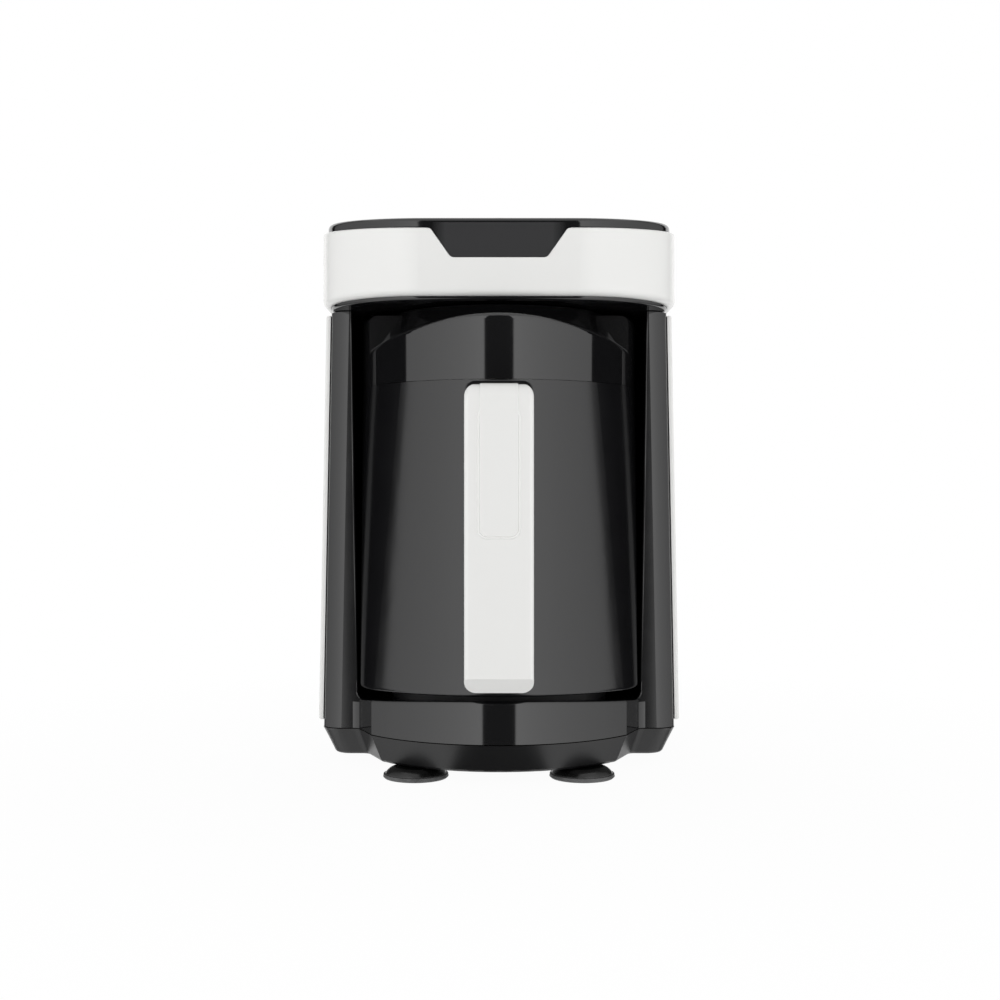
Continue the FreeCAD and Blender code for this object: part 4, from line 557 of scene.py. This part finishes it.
def place_camera():
    """Camera at the photograph's height and distance, level, before the object."""
    data = bpy.data.cameras.new("camera")
    data.lens = LENS_MM
    data.sensor_width = FILM_MM
    data.sensor_fit = "HORIZONTAL"
    data.shift_x = SIDE_SHIFT
    data.clip_start = NEAREST_SEEN
    camera = bpy.data.objects.new("camera", data)
    bpy.context.scene.collection.objects.link(camera)
    camera.location = (0, -CAMERA_DISTANCE, CAMERA_HEIGHT)
    camera.rotation_euler = (math.radians(90), 0, 0)
    bpy.context.scene.camera = camera


def stage_mesh(name, corners, material, faces=((0, 1, 2, 3),)):
    """A thing of the studio, which isn't part of the object."""
    mesh = bpy.data.meshes.new(name)
    mesh.from_pydata(corners, [], faces)
    mesh.materials.append(material)
    thing = bpy.data.objects.new(name, mesh)
    bpy.context.scene.collection.objects.link(thing)
    return thing


def only_for_shines(thing):
    """Leaves a thing of the studio to reflections and glass alone."""
    thing.visible_camera = False
    thing.visible_diffuse = False
    thing.visible_shadow = False


def glowing_wall(name, start, end, radiance, side, soft_edge=0.0):
    """Upright white wall that fades along its length, mirrored by shines only."""
    start, end = Vector((side * start.x, start.y)), Vector((side * end.x, end.y))
    run = end - start
    material, tree = new_material(name + "_cloth")
    place = add(tree, "TexCoord").outputs["Object"]
    along = add(tree, "SeparateXYZ", {"Vector": place}).outputs["X"]
    strength = add(tree, "MapRange", {
        "Value": along, "From Max": run.length, "To Min": radiance[0],
        "To Max": radiance[1]}).outputs["Result"]
    if soft_edge:
        edge = add(tree, "MapRange", {"Value": along, "From Max": soft_edge},
                   interpolation_type="SMOOTHSTEP")
        strength = add(tree, "Math", {0: strength, 1: edge.outputs["Result"]},
                       operation="MULTIPLY").outputs[0]
    glow = add(tree, "Emission", {"Color": linear(PURE_WHITE), "Strength": strength})
    add(tree, "OutputMaterial", {"Surface": glow.outputs[0]})
    wall = stage_mesh(name, [(0, 0, WALL_LOW), (run.length, 0, WALL_LOW),
                             (run.length, 0, WALL_HIGH), (0, 0, WALL_HIGH)], material)
    wall.location = (start.x, start.y, 0)
    wall.rotation_euler = (0, 0, math.atan2(run.y, run.x))
    only_for_shines(wall)
    return wall


def light_object():
    """A tall fading softbox wall on each side with a dark gap between them. Behind
    each stands a dimmer wall that only the machine's nodes mirror, so that the pot's
    flanks stay dark."""
    machine = bpy.data.collections.new("machine_only")
    for name, node in frame["nodes"].items():
        if name not in POT_NODES:
            machine.objects.link(node)
    for side, label in ((-1, "left"), (1, "right")):
        glowing_wall("softbox_" + label, SOFTBOX_NEAR, SOFTBOX_FAR, SOFTBOX_RADIANCE,
                     side, SOFT_EDGE)
        behind = glowing_wall("side_wall_" + label, SOFTBOX_FAR, SIDE_WALL_END,
                              SIDE_WALL_RADIANCE, side)
        behind.light_linking.receiver_collection = machine


def looked_at(tree):
    """One where the camera, a reflection or glass looks straight at it, otherwise zero."""
    path = add(tree, "LightPath")
    seen = add(tree, "Math", {
        0: path.outputs["Is Camera Ray"], 1: path.outputs["Is Glossy Ray"]},
        operation="MAXIMUM")
    seen = add(tree, "Math", {
        0: seen.outputs[0], 1: path.outputs["Is Transmission Ray"]},
        operation="MAXIMUM")
    return seen.outputs[0]


def build_room():
    """The room's own light; plain white wherever the room itself is looked at."""
    world = bpy.data.worlds.new("room")
    bpy.context.scene.world = world
    world.use_nodes = True
    tree = world.node_tree
    tree.nodes.clear()
    place = add(tree, "TexCoord").outputs["Generated"]
    upward = add(tree, "SeparateXYZ", {"Vector": place}).outputs["Z"]
    level = add(tree, "MapRange", {
        "Value": upward, "From Min": DIM_FROM, "From Max": DIM_TO,
        "To Min": ROOM_LIGHT, "To Max": CEILING_LIGHT})
    light = add(tree, "Background", {
        "Color": linear(PURE_WHITE), "Strength": level.outputs["Result"]})
    white = add(tree, "Background", {"Color": linear(PURE_WHITE), "Strength": 1.0})
    mixed = add(tree, "MixShader", {
        0: looked_at(tree), 1: light.outputs[0], 2: white.outputs[0]})
    add(tree, "OutputWorld", {"Surface": mixed.outputs[0]})


def build_floor():
    """Plain white sheet: it glows fully some way from the object, and keeps a faint
    shadow near it. Shines don't see it, so that the low fronts mirror the softboxes
    with the dark gap between them, and the room's light passes up through it."""
    material, tree = new_material("white_sheet")
    paper = add(tree, "BsdfDiffuse", {"Color": linear(FLOOR_WHITE)})
    place = add(tree, "TexCoord").outputs["Object"]
    reach = add(tree, "VectorMath", {0: place}, operation="LENGTH")
    glow = add(tree, "MapRange", {
        "Value": reach.outputs["Value"], "From Min": SHADOW_REACH, "From Max": GLOW_REACH,
        "To Min": FLOOR_GLOW, "To Max": 1.0})
    share = add(tree, "Math", {0: looked_at(tree), 1: glow.outputs["Result"]},
                operation="MULTIPLY")
    white = add(tree, "Emission", {"Color": linear(PURE_WHITE), "Strength": 1.0})
    mixed = add(tree, "MixShader", {
        0: share.outputs[0], 1: paper.outputs[0], 2: white.outputs[0]})
    add(tree, "OutputMaterial", {"Surface": mixed.outputs[0]})
    floor = stage_mesh("floor", [(-FLOOR_HALF, -FLOOR_HALF, 0), (FLOOR_HALF, -FLOOR_HALF, 0),
                                 (FLOOR_HALF, FLOOR_HALF, 0), (-FLOOR_HALF, FLOOR_HALF, 0)],
                       material)
    floor.visible_glossy = False
    floor.visible_shadow = False


def felt_material(name, radiance):
    """Cloth that is its own brightness, whatever falls on it."""
    material, tree = new_material(name)
    glow = add(tree, "Emission", {"Color": linear(PURE_WHITE), "Strength": radiance})
    add(tree, "OutputMaterial", {"Surface": glow.outputs[0]})
    return material


def curtain(name, first, last, material):
    """Upright strip of the studio's round curtain, which only shines and glass see."""
    corners = []
    for i in range(CURTAIN_STEPS + 1):
        turn = first + (last - first) * i / CURTAIN_STEPS
        x, y = CURTAIN_RADIUS * math.sin(turn), -CURTAIN_RADIUS * math.cos(turn)
        corners += [(x, y, CURTAIN_LOW), (x, y, CURTAIN_HIGH)]
    faces = [(2 * i, 2 * i + 2, 2 * i + 3, 2 * i + 1) for i in range(CURTAIN_STEPS)]
    only_for_shines(stage_mesh(name, corners, material, faces))


def build_curtains():
    """Dark curtain round front and sides, paler in the gap, and a dark card under the
    floor's front, which the underside of the lower shell mirrors."""
    felt = felt_material("black_felt", 0.0)
    dim = felt_material("grey_felt", GAP_RADIANCE)
    gap = math.atan2(SOFTBOX_NEAR.x, -SOFTBOX_NEAR.y)
    curtain("front_curtain", -gap, gap, dim)
    for side, label in ((-1, "left"), (1, "right")):
        curtain("side_curtain_" + label, side * gap, side * CURTAIN_HALF_TURN, felt)
    (x0, y0), (x1, y1) = SHADE_CARD
    corners = [(x, y, SHADE_CARD_HEIGHT) for x, y in ((x0, y0), (x1, y0), (x1, y1), (x0, y1))]
    only_for_shines(stage_mesh("shade_card", corners, felt))


bpy.context.scene.view_settings.view_transform = "Standard"
finish_cad_nodes()
build_vented_cover()
build_handle_details()
place_camera()
light_object()
build_room()
build_floor()
build_curtains()
